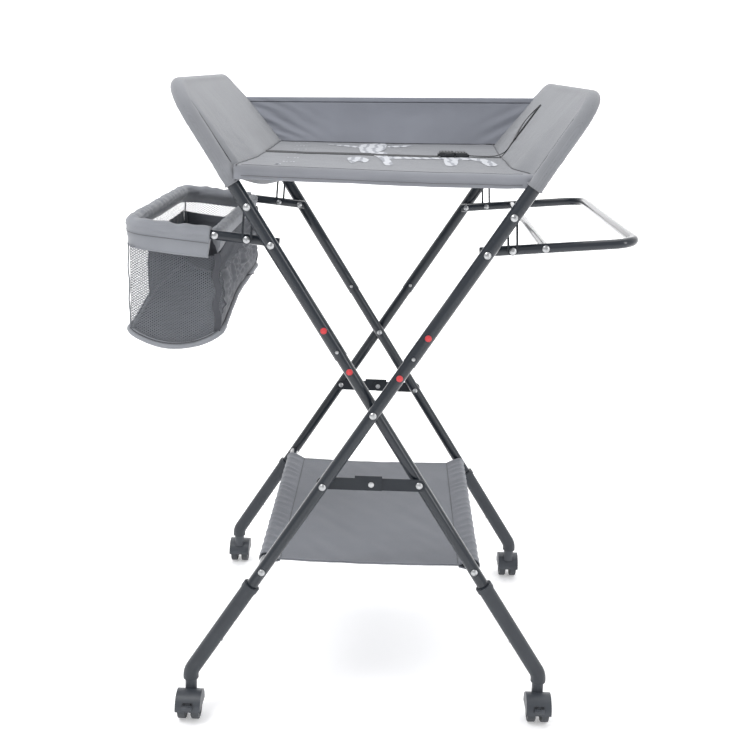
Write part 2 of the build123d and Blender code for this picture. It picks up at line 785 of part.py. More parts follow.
# Mesh basket hung from the left arms: a sewn rim band, four walls and a floor.
basket_y = frame_a_y - arm_inset
basket_in = crossbar_at
rim_in_x, rim_in_z = arm_point(-1, basket_in)
rim_out_x, rim_out_z = arm_point(-1, basket_reach)
basket_floor = pivot_height + 92.0
wall = 2.4
with BuildPart() as basket:
    mid_x = (rim_in_x + rim_out_x) / 2
    size_x = rim_in_x - rim_out_x + wall
    size_y = 2 * basket_y + wall
    with BuildSketch(Plane.XY.offset(basket_floor)):
        with Locations((mid_x, 0)):
            RectangleRounded(size_x, size_y, 18)
    extrude(amount=190)
    with BuildSketch(Plane.XY.offset(basket_floor + wall)):
        with Locations((mid_x, 0)):
            RectangleRounded(size_x - 2 * wall, size_y - 2 * wall, 18 - wall)
    extrude(amount=190, mode=Mode.SUBTRACT)
    with BuildSketch(Plane.XZ.offset(-300)):
        with BuildLine():
            Polyline(
                (rim_in_x + 20, rim_in_z - 20 * tan(radians(arm_rise))),
                (rim_out_x - 20, rim_out_z + 20 * tan(radians(arm_rise))),
                (rim_out_x - 20, rim_out_z + 80),
                (rim_in_x + 20, rim_out_z + 80),
                close=True,
            )
        make_face()
    extrude(amount=600, mode=Mode.SUBTRACT)
    with BuildLine(arm_plane(-1)) as rim_path:
        FilletPolyline(
            (-basket_y, basket_in + 8),
            (-basket_y, basket_reach),
            (basket_y, basket_reach),
            (basket_y, basket_in + 8),
            radius=arm_bend,
        )
    rise = radians(arm_rise)
    sleeve_x, sleeve_z = arm_point(-1, basket_in + 8)
    rim_start = Plane(
        origin=(sleeve_x, -basket_y, sleeve_z),
        x_dir=(0, 1, 0),
        z_dir=(-cos(rise), 0, sin(rise)),
    )
    with BuildSketch(rim_start):
        Circle(11.6)
    sweep(path=rim_path.line)
    with Locations((rim_in_x, 0, rim_in_z)):
        Cylinder(10.2, 2 * (basket_y - 10.2), rotation=(90, 0, 0))
    with BuildLine(arm_plane(-1)) as arm_path:
        FilletPolyline(
            (-basket_y, 0), (-basket_y, basket_reach), (basket_y, basket_reach), (basket_y, 0),
            radius=arm_bend,
        )
    hinge_x, hinge_z = arm_point(-1, 0)
    clear_start = Plane(
        origin=(hinge_x, -basket_y, hinge_z),
        x_dir=(0, 1, 0),
        z_dir=(-cos(rise), 0, sin(rise)),
    )
    with BuildSketch(clear_start):
        Circle(arm_r + tube_gap)
    sweep(path=arm_path.line, mode=Mode.SUBTRACT)
    with Locations((rim_in_x, 0, rim_in_z)):
        Cylinder(cross_r + tube_gap, 2 * basket_y, rotation=(90, 0, 0), mode=Mode.SUBTRACT)
        Cylinder(6.2, 2 * basket_y + 24, rotation=(90, 0, 0), mode=Mode.SUBTRACT)

# Safety strap: webbing on the bed, a side-release buckle, and a loop on the right panel.
strap_z = bed_top + tube_gap
with BuildPart() as strap:
    for x_low, x_high in ((-203, 94), (142, 203)):
        with Locations(((x_low + x_high) / 2, strap_y, strap_z + 0.6)):
            Box(x_high - x_low, strap_width, 1.2)

with BuildPart() as buckle_socket:
    with Locations((106.5, strap_y, strap_z + 4.5)):
        Box(24, 33, 9)
    fillet(buckle_socket.edges().filter_by(Axis.Z), 3)
    with Locations((113, strap_y, strap_z + 4.5)):
        Box(12, 26, 5.2, mode=Mode.SUBTRACT)

with BuildPart() as buckle_clip:
    with Locations((130, strap_y, strap_z + 4.5)):
        Box(22, 33, 9)
    fillet(buckle_clip.edges().filter_by(Axis.Z), 3)
    for end in (-1, 1):
        with Locations((114.6, strap_y + end * 9.8, strap_z + 4.5)):
            Box(10, 4.4, 4.2)

with BuildPart() as strap_loop:
    inside = frame_plane(1).offset(-panel_thick / 2 - 0.3)
    with BuildSketch(inside):
        with Locations((45, 495)):
            Rectangle(strap_width, 88)
    extrude(amount=-2.0)


# ================= export =================
nodes = {
    "upper_frame_a": upper_frame_a,
    "upper_frame_b": upper_frame_b,
    "lower_leg_a_front": lower_leg_a_front,
    "lower_leg_a_rear": lower_leg_a_rear,
    "lower_leg_b_front": lower_leg_b_front,
    "lower_leg_b_rear": lower_leg_b_rear,
    "connectors_a": connectors_a,
    "connectors_b": connectors_b,
    "buttons_a_front": buttons_a_front,
    "buttons_a_rear": buttons_a_rear,
    "buttons_b_front": buttons_b_front,
    "buttons_b_rear": buttons_b_rear,
    "bed_bar_a": bed_bar_a,
    "bed_bar_b": bed_bar_b,
    "shelf_bar_a": shelf_bar_a,
    "shelf_bar_b": shelf_bar_b,
    "basket_arm": basket_arm,
    "rack_arm": rack_arm,
    "basket_crossbar": basket_crossbar,
    "rack_crossbar": rack_crossbar,
    "stays_left": stays_left,
    "stays_right": stays_right,
    "brace_front_left": brace_front_left,
    "brace_front_right": brace_front_right,
    "brace_rear_left": brace_rear_left,
    "brace_rear_right": brace_rear_right,
    "fasteners_a": fasteners_a,
    "fasteners_b": fasteners_b,
    "arm_bolts_left": arm_bolts_left,
    "arm_bolts_right": arm_bolts_right,
    "foot_a_front": foot_a_front,
    "foot_a_rear": foot_a_rear,
    "foot_b_front": foot_b_front,
    "foot_b_rear": foot_b_rear,
    "foot_pin_a_front": foot_pin_a_front,
    "foot_pin_a_rear": foot_pin_a_rear,
    "foot_pin_b_front": foot_pin_b_front,
    "foot_pin_b_rear": foot_pin_b_rear,
    "bed": bed,
    "side_panel_left": side_panel_left,
    "side_panel_right": side_panel_right,
    "back_panel": back_panel,
    "shelf": shelf,
    "basket": basket,
    "strap": strap,
    "buckle_socket": buckle_socket,
    "buckle_clip": buckle_clip,
    "strap_loop": strap_loop,
}
nodes.update(casters)
for name, node in nodes.items():
    save(node, name)
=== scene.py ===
import json
import math

import bmesh
import bpy
import numpy as np
from mathutils import Matrix, Vector, noise


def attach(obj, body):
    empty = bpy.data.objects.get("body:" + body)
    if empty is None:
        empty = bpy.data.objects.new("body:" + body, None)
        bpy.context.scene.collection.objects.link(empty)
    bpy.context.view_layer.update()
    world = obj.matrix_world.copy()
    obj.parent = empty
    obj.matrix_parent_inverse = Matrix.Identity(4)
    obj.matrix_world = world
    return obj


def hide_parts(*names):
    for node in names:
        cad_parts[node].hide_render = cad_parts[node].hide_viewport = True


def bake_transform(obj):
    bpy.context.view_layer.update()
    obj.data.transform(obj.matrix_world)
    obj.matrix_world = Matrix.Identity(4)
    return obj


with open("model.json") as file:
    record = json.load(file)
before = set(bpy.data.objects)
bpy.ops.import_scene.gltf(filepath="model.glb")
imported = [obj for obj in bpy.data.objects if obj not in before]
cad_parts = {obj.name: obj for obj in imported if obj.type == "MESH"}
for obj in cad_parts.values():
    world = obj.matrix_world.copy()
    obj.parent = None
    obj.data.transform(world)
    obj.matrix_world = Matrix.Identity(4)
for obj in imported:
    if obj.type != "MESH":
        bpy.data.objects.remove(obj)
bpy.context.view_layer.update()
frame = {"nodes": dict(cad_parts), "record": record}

# ---------------------------------------------------------------- sizes, metres
PIVOT = 0.527
LEAN = math.radians(32.5)
S, C = math.sin(LEAN), math.cos(LEAN)
LEG_A, LEG_B = 0.266, 0.294          # leg planes of the inner and outer frame
TOP_AT, TOP_BEND = 0.570, 0.055
SLEEVE = 0.0117                      # half thickness of the fabric over the tube
BED_Z = 0.898
STITCH_IN = 0.0156                   # edge stitch of a side panel, in from its outline


def smooth01(t):
    t = np.clip(t, 0.0, 1.0)
    return t * t * (3 - 2 * t)


def wobble(x, y, z=0.0, scale=1.0):
    return noise.noise(Vector((x * scale, y * scale, z * scale)))


# ---------------------------------------------------------------- mesh helpers
def mesh_object(name, verts, faces, material, uv=None, smooth=True):
    mesh = bpy.data.meshes.new(name)
    mesh.from_pydata([tuple(map(float, v)) for v in verts], [], faces)
    mesh.update()
    if uv is not None:
        layer = mesh.uv_layers.new(name="metres")
        index = np.zeros(len(mesh.loops), np.int32)
        mesh.loops.foreach_get("vertex_index", index)
        layer.data.foreach_set("uv", np.asarray(uv, np.float32)[index].ravel())
    obj = bpy.data.objects.new(name, mesh)
    bpy.context.scene.collection.objects.link(obj)
    mesh.materials.append(material)
    if smooth:
        mesh.polygons.foreach_set("use_smooth", [True] * len(mesh.polygons))
    return obj


def grid_faces(rows, cols, wrap_rows=False, wrap_cols=False, start=0, flip=False):
    faces = []
    for i in range(rows if wrap_rows else rows - 1):
        for j in range(cols if wrap_cols else cols - 1):
            a = start + i * cols + j
            b = start + i * cols + (j + 1) % cols
            c = start + ((i + 1) % rows) * cols + (j + 1) % cols
            d = start + ((i + 1) % rows) * cols + j
            faces.append((a, d, c, b) if flip else (a, b, c, d))
    return faces


def tube_path(name, points, radius, material, sides=10, closed=False, flat=1.0):
    """A round cord swept along points; flat < 1 squeezes its section."""
    pts = [Vector(p) for p in points]
    n = len(pts)
    verts, uv = [], []
    length = 0.0
    side = None
    for i, p in enumerate(pts):
        a = pts[(i - 1) % n] if closed or i > 0 else p
        b = pts[(i + 1) % n] if closed or i < n - 1 else p
        d = (b - a).normalized()
        if i:
            length += (p - pts[i - 1]).length
        if side is None:
            reference = Vector((0, 0, 1)) if abs(d.z) < 0.9 else Vector((1, 0, 0))
            side = d.cross(reference).normalized()
        else:
            side = (side - d * side.dot(d)).normalized()
        other = side.cross(d).normalized()
        r = radius[i] if hasattr(radius, "__len__") else radius
        for k in range(sides):
            t = 2 * math.pi * k / sides
            verts.append(p + side * (math.cos(t) * r) + other * (math.sin(t) * r * flat))
            uv.append((k / sides * 2 * math.pi * r, length))
    faces = grid_faces(n, sides, wrap_rows=closed, wrap_cols=True)
    if not closed:
        faces.append(tuple(range(sides)))
        faces.append(tuple(reversed(range((n - 1) * sides, n * sides))))
    return mesh_object(name, verts, faces, material, uv)


def smooth_line(points, step=0.004):
    """Catmull-Rom through the points at about the given step."""
    pts = [Vector(p) for p in points]
    out = []
    for i in range(len(pts) - 1):
        p0 = pts[i - 1] if i else pts[i] * 2 - pts[i + 1]
        p1, p2 = pts[i], pts[i + 1]
        p3 = pts[i + 2] if i + 2 < len(pts) else pts[i + 1] * 2 - pts[i]
        count = max(2, int((p2 - p1).length / step))
        for k in range(count):
            t = k / count
            out.append(0.5 * ((2 * p1) + (p2 - p0) * t + (2 * p0 - 5 * p1 + 4 * p2 - p3) * t * t
                              + (3 * p1 - p0 - 3 * p2 + p3) * t ** 3))
    out.append(pts[-1])
    return out


def rides(obj, body):
    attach(obj, body)
    return obj


# ---------------------------------------------------------------- materials
BAND_SCALE = 0.314                   # wave texture scale for bands one metre apart


def new_material(name):
    mat = bpy.data.materials.new(name)
    mat.use_nodes = True
    nt = mat.node_tree
    return mat, nt, nt.nodes, nt.links, nt.nodes["Principled BSDF"]


def set_inputs(shader, **values):
    for key, value in values.items():
        shader.inputs[key.replace("_", " ")].default_value = value


def speckle(nt, low, high, scale, detail=3.0, coords="Object"):
    """A colour that varies softly between low and high."""
    nodes, links = nt.nodes, nt.links
    tex = nodes.new("ShaderNodeTexCoord")
    noise_node = nodes.new("ShaderNodeTexNoise")
    noise_node.inputs["Scale"].default_value = scale
    noise_node.inputs["Detail"].default_value = detail
    links.new(tex.outputs[coords], noise_node.inputs["Vector"])
    ramp = nodes.new("ShaderNodeValToRGB")
    ramp.color_ramp.elements[0].position = 0.3
    ramp.color_ramp.elements[1].position = 0.7
    ramp.color_ramp.elements[0].color = (*low, 1)
    ramp.color_ramp.elements[1].color = (*high, 1)
    links.new(noise_node.outputs["Fac"], ramp.inputs["Fac"])
    return ramp.outputs["Color"]


def noise_bump(nt, shader, scale, distance, strength=0.4, coords="Object"):
    nodes, links = nt.nodes, nt.links
    tex = nodes.new("ShaderNodeTexCoord")
    noise_node = nodes.new("ShaderNodeTexNoise")
    noise_node.inputs["Scale"].default_value = scale
    noise_node.inputs["Detail"].default_value = 4.0
    links.new(tex.outputs[coords], noise_node.inputs["Vector"])
    bump = nodes.new("ShaderNodeBump")
    bump.inputs["Strength"].default_value = strength
    bump.inputs["Distance"].default_value = distance
    links.new(noise_node.outputs["Fac"], bump.inputs["Height"])
    links.new(bump.outputs["Normal"], shader.inputs["Normal"])


def enamel():
    mat, nt, nodes, links, shader = new_material("frame_enamel")
    set_inputs(shader, Roughness=0.30, Specular_IOR_Level=0.22, Coat_Weight=0.75, Coat_Roughness=0.035)
    links.new(speckle(nt, (0.012, 0.017, 0.024), (0.017, 0.022, 0.030), 9), shader.inputs["Base Color"])
    noise_bump(nt, shader, 60, 0.00005, 0.10)
    return mat


def satin_enamel():
    mat, nt, nodes, links, shader = new_material("link_enamel")
    set_inputs(shader, Roughness=0.42, Specular_IOR_Level=0.35)
    links.new(speckle(nt, (0.014, 0.018, 0.024), (0.020, 0.025, 0.032), 30), shader.inputs["Base Color"])
    noise_bump(nt, shader, 400, 0.00012, 0.3)
    return mat


def zinc():
    mat, nt, nodes, links, shader = new_material("zinc")
    set_inputs(shader, Metallic=1.0, Roughness=0.30)
    links.new(speckle(nt, (0.40, 0.41, 0.42), (0.58, 0.59, 0.60), 220), shader.inputs["Base Color"])
    noise_bump(nt, shader, 500, 0.0002, 0.35)
    return mat


def plastic(name, low, high, rough, grain=900, depth=0.00012):
    mat, nt, nodes, links, shader = new_material(name)
    set_inputs(shader, Roughness=rough)
    links.new(speckle(nt, low, high, 25), shader.inputs["Base Color"])
    noise_bump(nt, shader, grain, depth, 0.4)
    return mat


def fabric(name, color, spread=0.06, weave=0.0011, depth=0.00016, rough=0.88, sheen=0.25):
    """Plain weave in metres of UV, with soft colour variation and a little sheen."""
    mat, nt, nodes, links, shader = new_material(name)
    set_inputs(shader, Roughness=rough, Sheen_Weight=sheen, Sheen_Roughness=0.5)
    uv = nodes.new("ShaderNodeUVMap")
    uv.uv_map = "metres"
    threads = []
    for direction in ("X", "Y"):
        wave = nodes.new("ShaderNodeTexWave")
        wave.wave_type = "BANDS"
        wave.bands_direction = direction
        wave.wave_profile = "SIN"
        wave.inputs["Scale"].default_value = BAND_SCALE / weave
        wave.inputs["Distortion"].default_value = 0.6
        wave.inputs["Detail"].default_value = 1.0
        links.new(uv.outputs["UV"], wave.inputs["Vector"])
        threads.append(wave)
    weave_mix = nodes.new("ShaderNodeMath")
    weave_mix.operation = "MULTIPLY"
    links.new(threads[0].outputs["Fac"], weave_mix.inputs[0])
    links.new(threads[1].outputs["Fac"], weave_mix.inputs[1])
    low = tuple(c * (1 - spread) for c in color)
    high = tuple(min(1.0, c * (1 + spread)) for c in color)
    broad = speckle(nt, low, high, 14, 5.0)
    tint = nodes.new("ShaderNodeMixRGB")
    tint.blend_type = "MULTIPLY"
    tint.inputs["Fac"].default_value = 0.16
    links.new(broad, tint.inputs["Color1"])
    links.new(weave_mix.outputs["Value"], tint.inputs["Color2"])
    links.new(tint.outputs["Color"], shader.inputs["Base Color"])
    bump = nodes.new("ShaderNodeBump")
    bump.inputs["Strength"].default_value = 0.5
    bump.inputs["Distance"].default_value = depth
    links.new(weave_mix.outputs["Value"], bump.inputs["Height"])
    links.new(bump.outputs["Normal"], shader.inputs["Normal"])
    return mat


def netting(name, color, pitch=0.0034, line=0.19):
    """See-through knitted net: diagonal threads with open diamonds between."""
    mat, nt, nodes, links, shader = new_material(name)
    set_inputs(shader, Roughness=0.8)
    shader.inputs["Base Color"].default_value = (*color, 1)
    uv = nodes.new("ShaderNodeUVMap")
    uv.uv_map = "metres"
    masks = []
    for angle in (math.radians(58), math.radians(-58)):
        turn = nodes.new("ShaderNodeMapping")
        turn.inputs["Rotation"].default_value = (0, 0, angle)
        links.new(uv.outputs["UV"], turn.inputs["Vector"])
        wave = nodes.new("ShaderNodeTexWave")
        wave.wave_type = "BANDS"
        wave.bands_direction = "X"
        wave.inputs["Scale"].default_value = BAND_SCALE / pitch
        wave.inputs["Distortion"].default_value = 0.15
        links.new(turn.outputs["Vector"], wave.inputs["Vector"])
        above = nodes.new("ShaderNodeMath")
        above.operation = "GREATER_THAN"
        above.inputs[1].default_value = 1 - line
        links.new(wave.outputs["Fac"], above.inputs[0])
        masks.append(above)
    either = nodes.new("ShaderNodeMath")
    either.operation = "MAXIMUM"
    links.new(masks[0].outputs[0], either.inputs[0])
    links.new(masks[1].outputs[0], either.inputs[1])
    links.new(either.outputs[0], shader.inputs["Alpha"])
    mat.blend_method = "HASHED"
    return mat


ENAMEL = enamel()
LINK_ENAMEL = satin_enamel()
ZINC = zinc()
FOOT_PLASTIC = plastic("foot_plastic", (0.028, 0.033, 0.041), (0.035, 0.041, 0.050), 0.46)
CASTER_PLASTIC = plastic("caster_plastic", (0.044, 0.050, 0.060), (0.055, 0.062, 0.073), 0.42)
WHEEL = plastic("wheel_rubber", (0.038, 0.042, 0.049), (0.050, 0.055, 0.062), 0.55)
RED = plastic("red_button", (0.62, 0.045, 0.055), (0.70, 0.060, 0.070), 0.34)
BUCKLE = plastic("buckle_plastic", (0.022, 0.024, 0.027), (0.032, 0.034, 0.038), 0.36)
PANEL = fabric("panel_fabric", (0.250, 0.259, 0.279))
BED = fabric("bed_fabric", (0.228, 0.237, 0.259))
BACK = fabric("back_fabric", (0.340, 0.356, 0.404))
SHELF = fabric("shelf_fabric", (0.197, 0.209, 0.237))
TRIM = fabric("trim_fabric", (0.290, 0.303, 0.330))
WEBBING = fabric("webbing", (0.030, 0.032, 0.036), weave=0.0016, depth=0.0003)
NET = netting("basket_net", (0.16, 0.17, 0.19))
NET_SIDE = netting("basket_side_net", (0.34, 0.35, 0.37), pitch=0.0030, line=0.20)
SOFT_SEAM = fabric("soft_seam", (0.135, 0.140, 0.155), depth=0.00008)
SEAM = fabric("seam", (0.070, 0.074, 0.086), depth=0.00008)
DARK_CLOTH = fabric("dark_cloth", (0.128, 0.136, 0.154))
NET_EDGE = fabric("net_edge", (0.20, 0.21, 0.23))
PRINT = fabric("white_print", (0.60, 0.62, 0.66), spread=0.05, depth=0.00008)


def add_stripes(mat):
    """Soft grey brush stripes through the white print."""
    nodes, links = mat.node_tree.nodes, mat.node_tree.links
    shader = nodes["Principled BSDF"]
    plain = shader.inputs["Base Color"].links[0].from_socket
    tex = nodes.new("ShaderNodeTexCoord")
    wave = nodes.new("ShaderNodeTexWave")
    wave.bands_direction = "X"
    wave.inputs["Scale"].default_value = 20.0
    wave.inputs["Distortion"].default_value = 5.0
    wave.inputs["Detail"].default_value = 1.5
    links.new(tex.outputs["Object"], wave.inputs["Vector"])
    ramp = nodes.new("ShaderNodeValToRGB")
    ramp.color_ramp.elements[0].position = 0.22
    ramp.color_ramp.elements[1].position = 0.36
    ramp.color_ramp.elements[0].color = (0.52, 0.53, 0.56, 1)
    ramp.color_ramp.elements[1].color = (1, 1, 1, 1)
    links.new(wave.outputs["Fac"], ramp.inputs["Fac"])
    mix = nodes.new("ShaderNodeMixRGB")
    mix.blend_type = "MULTIPLY"
    mix.inputs["Fac"].default_value = 1.0
    links.new(plain, mix.inputs["Color1"])
    links.new(ramp.outputs["Color"], mix.inputs["Color2"])
    links.new(mix.outputs["Color"], shader.inputs["Base Color"])


add_stripes(PRINT)


def paint_front_light(mat, start):
    """Painted light: past this distance along the cloth, where it turns down in front, its colour is painted
    a little lighter to stand in for light on the front band.
    """
    nodes, links = mat.node_tree.nodes, mat.node_tree.links
    shader = nodes["Principled BSDF"]
    plain = shader.inputs["Base Color"].links[0].from_socket
    uv = nodes.new("ShaderNodeUVMap")
    uv.uv_map = "metres"
    split = nodes.new("ShaderNodeSeparateXYZ")
    links.new(uv.outputs["UV"], split.inputs["Vector"])
    past = nodes.new("ShaderNodeMapRange")
    past.inputs["From Min"].default_value = start
    past.inputs["From Max"].default_value = start + 0.012
    links.new(split.outputs["Y"], past.inputs["Value"])
    mix = nodes.new("ShaderNodeMixRGB")
    mix.blend_type = "MULTIPLY"
    # painted light: the front band's colour is made about 1.24 times lighter
    mix.inputs["Color2"].default_value = (1.24, 1.24, 1.25, 1)
    links.new(past.outputs["Result"], mix.inputs["Fac"])
    links.new(plain, mix.inputs["Color1"])
    links.new(mix.outputs["Color"], shader.inputs["Base Color"])


# painted light: the bed's front band is painted lighter than the top
paint_front_light(BED, 0.532)

for node, obj in frame["nodes"].items():
    entry = next(x for x in frame["record"]["subparts"] if x["node"] == node)
    paint = {
        "frame_enamel": ENAMEL, "zinc": ZINC, "link_enamel": LINK_ENAMEL,
        "foot_plastic": FOOT_PLASTIC, "caster_plastic": CASTER_PLASTIC, "wheel_rubber": WHEEL,
        "red_button": RED, "buckle_plastic": BUCKLE, "grey_fabric": PANEL,
        "basket_fabric": TRIM, "webbing": WEBBING,
    }[entry["material_slot"]]
    obj.data.materials.clear()
    obj.data.materials.append(paint)


# ---------------------------------------------------------------- side panels
def leg_point(side, y, along, out):
    """A point on a U frame: along from the pivot, out is positive on the outside face."""
    return Vector((side * (along * S + out * C), y, PIVOT + along * C - out * S))


def wedge(side, y, along):
    """How far the inside cloth stands off the tubes where it runs down to the bed."""
    if side < 0:
        amount = 0.010 + 0.011 * float(smooth01((y + 0.27) / 0.16))
    else:
        amount = 0.021 * float(smooth01((y + 0.300) / 0.10)) - 0.005 * float(smooth01(y / 0.25))
    ramp = min(1.0, max(0.0, (TOP_AT - along) / 0.150))
    tuck = float(smooth01((along - 0.404) / 0.016))
    return amount * ramp * tuck


def inner_x(side, y, z):
    """x of a panel's inside face at this y and height."""
    x = side * (z - PIVOT) * math.tan(LEAN)
    for _ in range(4):
        along = abs(x) * S + (z - PIVOT) * C
        off = SLEEVE * 0.94 + wedge(side, y, along)
        x = side * ((z - PIVOT) * math.tan(LEAN) - off / C)
    return x


EDGE_STEPS = [0, 0.0002, 0.0009, 0.002, 0.0036, 0.0056, 0.008, 0.0105, 0.0122, 0.0140, 0.0150,
              0.0156, 0.0162, 0.0172, 0.020, 0.025, 0.032]


def side_panel(name, side, leg_y, body, node, bottom):
    half = leg_y + SLEEVE
    top = TOP_AT + SLEEVE
    bend = TOP_BEND + SLEEVE
    middle = np.linspace(0.040, 2 * half - 0.040, 90)
    columns = EDGE_STEPS + list(middle) + [2 * half - e for e in reversed(EDGE_STEPS)]
    ys = [c - half for c in columns]
    steps = EDGE_STEPS + list(np.linspace(0.040, 0.9, 34))

    def top_of(y):
        over = abs(y) - (half - bend)
        if over <= 0:
            return top
        return top - bend + math.sqrt(max(0.0, bend * bend - over * over))

    def distance(y, u):
        over = abs(y) - (half - bend)
        under = u - (top - bend)
        if over > 0 and under > 0:
            return bend - math.hypot(over, under)
        return min(half - abs(y), top - u)

    rows = len(steps)
    verts, uv = [], []
    for face in (-1, 1):                        # inside face, outside face
        for i in range(rows):
            for y in ys:
                high = top_of(y)
                span = high - bottom
                if i < len(EDGE_STEPS):
                    u = high - min(steps[i], span)
                else:
                    share = (i - len(EDGE_STEPS) + 1) / (rows - len(EDGE_STEPS))
                    u = high - EDGE_STEPS[-1] - (span - EDGE_STEPS[-1]) * share
                d = max(0.0, distance(y, u))
                r = SLEEVE
                h = math.sqrt(max(0.0, r * r - (r - min(d, r)) ** 2))
                away = float(smooth01((d - 0.018) / 0.09))
                loose = min(1.0, max(0.0, d - 0.004) / 0.02)
                h += 0.0008 * wobble(y, u, face * 3.0 + side, 13) * loose
                h += 0.00045 * wobble(y * 2.0, u * 0.7, side * 9.0, 60) * loose
                low = math.exp(-((u - 0.455) / 0.045) ** 2)
                h += 0.0009 * wobble(y * 0.5, u * 1.6, side * 4.0, 55) * low * loose
                if face < 0:
                    h += wedge(side, y, u) * float(smooth01((d - 0.010) / 0.016))
                    h -= 0.0012 * math.exp(-((half - abs(y) - STITCH_IN) / 0.0011) ** 2) * (d > 0.01)
                else:
                    h *= 1 - 0.35 * away
                gather = math.exp(-((d - 0.007) / 0.007) ** 2) * (abs(y) > half - 0.03)
                h += 0.0002 * gather * math.sin(u * 430 + 9 * wobble(y, u, 1.0, 40))
                cap = math.exp(-((u - 0.4226) / 0.012) ** 2 - ((half - abs(y)) / 0.02) ** 2)
                grown = y + math.copysign(0.0052 * cap, y)
                verts.append(leg_point(side, grown, u, face * h))
                uv.append((y, u))
    count = rows * len(ys)
    flip = side > 0
    faces = grid_faces(rows, len(ys), flip=flip)
    faces += grid_faces(rows, len(ys), start=count, flip=not flip)
    last = (rows - 1) * len(ys)
    for j in range(len(ys) - 1):
        a, b = last + j, last + j + 1
        quad = (a, b, count + b, count + a)
        faces.append(quad if flip else tuple(reversed(quad)))
    panel = mesh_object(name, verts, faces, PANEL, uv)
    weld = panel.modifiers.new("weld", "WELD")
    weld.merge_threshold = 0.00003
    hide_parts(node)
    rides(panel, body)

    for end in (-1, 1):
        line = []
        y = end * (half - STITCH_IN)
        for k in range(60):
            u = bottom + 0.020 + (top - bend - bottom - 0.016) * k / 59
            off = SLEEVE + wedge(side, y, u) * 0.27 - 0.0006
            line.append(leg_point(side, y, u, -off))
        rr = bend - STITCH_IN
        for k in range(1, 26):
            t = math.radians(90) * k / 25
            yy = end * (half - bend + rr * math.cos(t))
            line.append(leg_point(side, yy, top - bend + rr * math.sin(t), -SLEEVE + 0.0007))
        seam = tube_path(f"{name}_seam_{'front' if end < 0 else 'rear'}", line, 0.0007, SEAM, 6)
        rides(seam, body)
    for end in (-1, 1):                         # turned hem where the tube comes out
        ring = []
        for k in range(24):
            t = 2 * math.pi * k / 24
            ring.append(leg_point(side, end * leg_y + 0.0124 * math.cos(t), bottom + 0.002,
                                  0.0124 * math.sin(t)))
        hem = tube_path(f"{name}_hem_{'front' if end < 0 else 'rear'}", ring, 0.0014, PANEL, 8,
                        closed=True)
        rides(hem, body)


side_panel("panel_left", -1, LEG_A, "inner_frame", "side_panel_left", 0.4060)
side_panel("panel_right", 1, LEG_B, "outer_frame", "side_panel_right", 0.4170)


# ---------------------------------------------------------------- bed
BED_REAR = 0.254


def crosses(obj):
    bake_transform(obj)
    return obj


def bed_front(x):
    return -0.2800 - 0.016 * float(smooth01((x + 0.21) / 0.42))


def bed_height(x, y):
    across = x / 0.2
    along = (y + 0.28) / 0.54
    z = BED_Z + 0.0002 - 0.0014 * (1 - across * across)
    z += 0.0055 * max(0.0, min(1.0, (x + 0.2) / 0.4)) * max(0.0, min(1.0, along))
    z -= 0.0016 * math.exp(-((y + 0.018) / 0.024) ** 2) * (1 - 0.4 * across * across)
    near_edge = math.exp(-((0.2 - abs(x)) / 0.03) ** 2)
    z += 0.0010 * wobble(x, y, 2.0, 8) + 0.0005 * wobble(x, y, 5.0, 26)
    z += 0.0009 * near_edge * wobble(x * 0.6, y * 1.4, 6.0, 50)
    return z


def bed_x(s, y):
    left = inner_x(-1, y, BED_Z) - 0.004
    right = inner_x(1, y, BED_Z) + 0.004
    return left + (right - left) * (s + 1) / 2


def make_bed():
    ss = np.linspace(-1, 1, 141)
    profile = [("top", t) for t in np.linspace(0, 1, 110)]
    profile += [("fold", t) for t in np.linspace(0, 1, 9)[1:]]
    profile += [("fall", t) for t in np.linspace(0, 1, 12)[1:]]
    profile += [("turn", t) for t in np.linspace(0, 1, 7)[1:]]
    profile += [("under", t) for t in np.linspace(0, 1, 50)[1:]]
    fold_r, fall = 0.0065, 0.0125
    verts, uv = [], []
    for kind, t in profile:
        for s in ss:
            guess = bed_x(s, -0.27)
            front = bed_front(guess)
            start = front + fold_r
            if kind == "top":
                y = BED_REAR + (start - BED_REAR) * t
                x = bed_x(s, y)
                z = bed_height(x, y)
                v = BED_REAR - y
            else:
                x = bed_x(s, start)
                base = bed_height(x, start)
                flow = wobble(x, 0, 11.0, 12)
                if kind == "fold":
                    a = t * math.pi / 2
                    y = start - fold_r * math.sin(a)
                    z = base - fold_r * (1 - math.cos(a))
                    v = BED_REAR - start + fold_r * a
                elif kind == "fall":
                    y = front + 0.0009 * math.sin(t * 3.1) - 0.0010 * wobble(x, 3.0, 8.0, 18) * t
                    z = base - fold_r - fall * t + 0.0010 * flow * t
                    v = BED_REAR - start + fold_r * 1.57 + fall * t
                elif kind == "turn":
                    a = t * math.pi
                    y = front + 0.0018 * (1 - math.cos(a)) - 0.0010 * wobble(x, 3.0, 8.0, 18)
                    z = base - fold_r - fall - 0.0016 * math.sin(a) + 0.0010 * flow
                    v = BED_REAR - start + fold_r * 1.57 + fall + 0.003 * t
                else:
                    y = front + 0.0036 + (BED_REAR - front - 0.0036) * t
                    x = bed_x(s, y)
                    pouch = math.exp(-((x + 0.178) / 0.035) ** 2 - ((y + 0.235) / 0.055) ** 2)
                    z = bed_height(x, y) - 0.0135 - 0.0055 * max(0.0, 1 - t * 25)
                    z -= 0.016 * pouch + 0.0012 * wobble(x, y, 15.0, 16)
                    v = t * 0.5
            verts.append((x, y, z))
            uv.append((x, v))
    n = len(ss)
    faces = grid_faces(len(profile), n, flip=True)
    last = (len(profile) - 1) * n
    for j in range(n - 1):
        faces.append((j, j + 1, last + j + 1, last + j))
    for j in (0, n - 1):
        ring = [i * n + j for i in range(len(profile))]
        faces.append(tuple(ring if j else reversed(ring)))
    return mesh_object("bed_pad", verts, faces, BED, uv)


bed = make_bed()
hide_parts("bed")
crosses(bed)


def on_bed(x, y, lift):
    return Vector((x, y, bed_height(x, y) + lift))


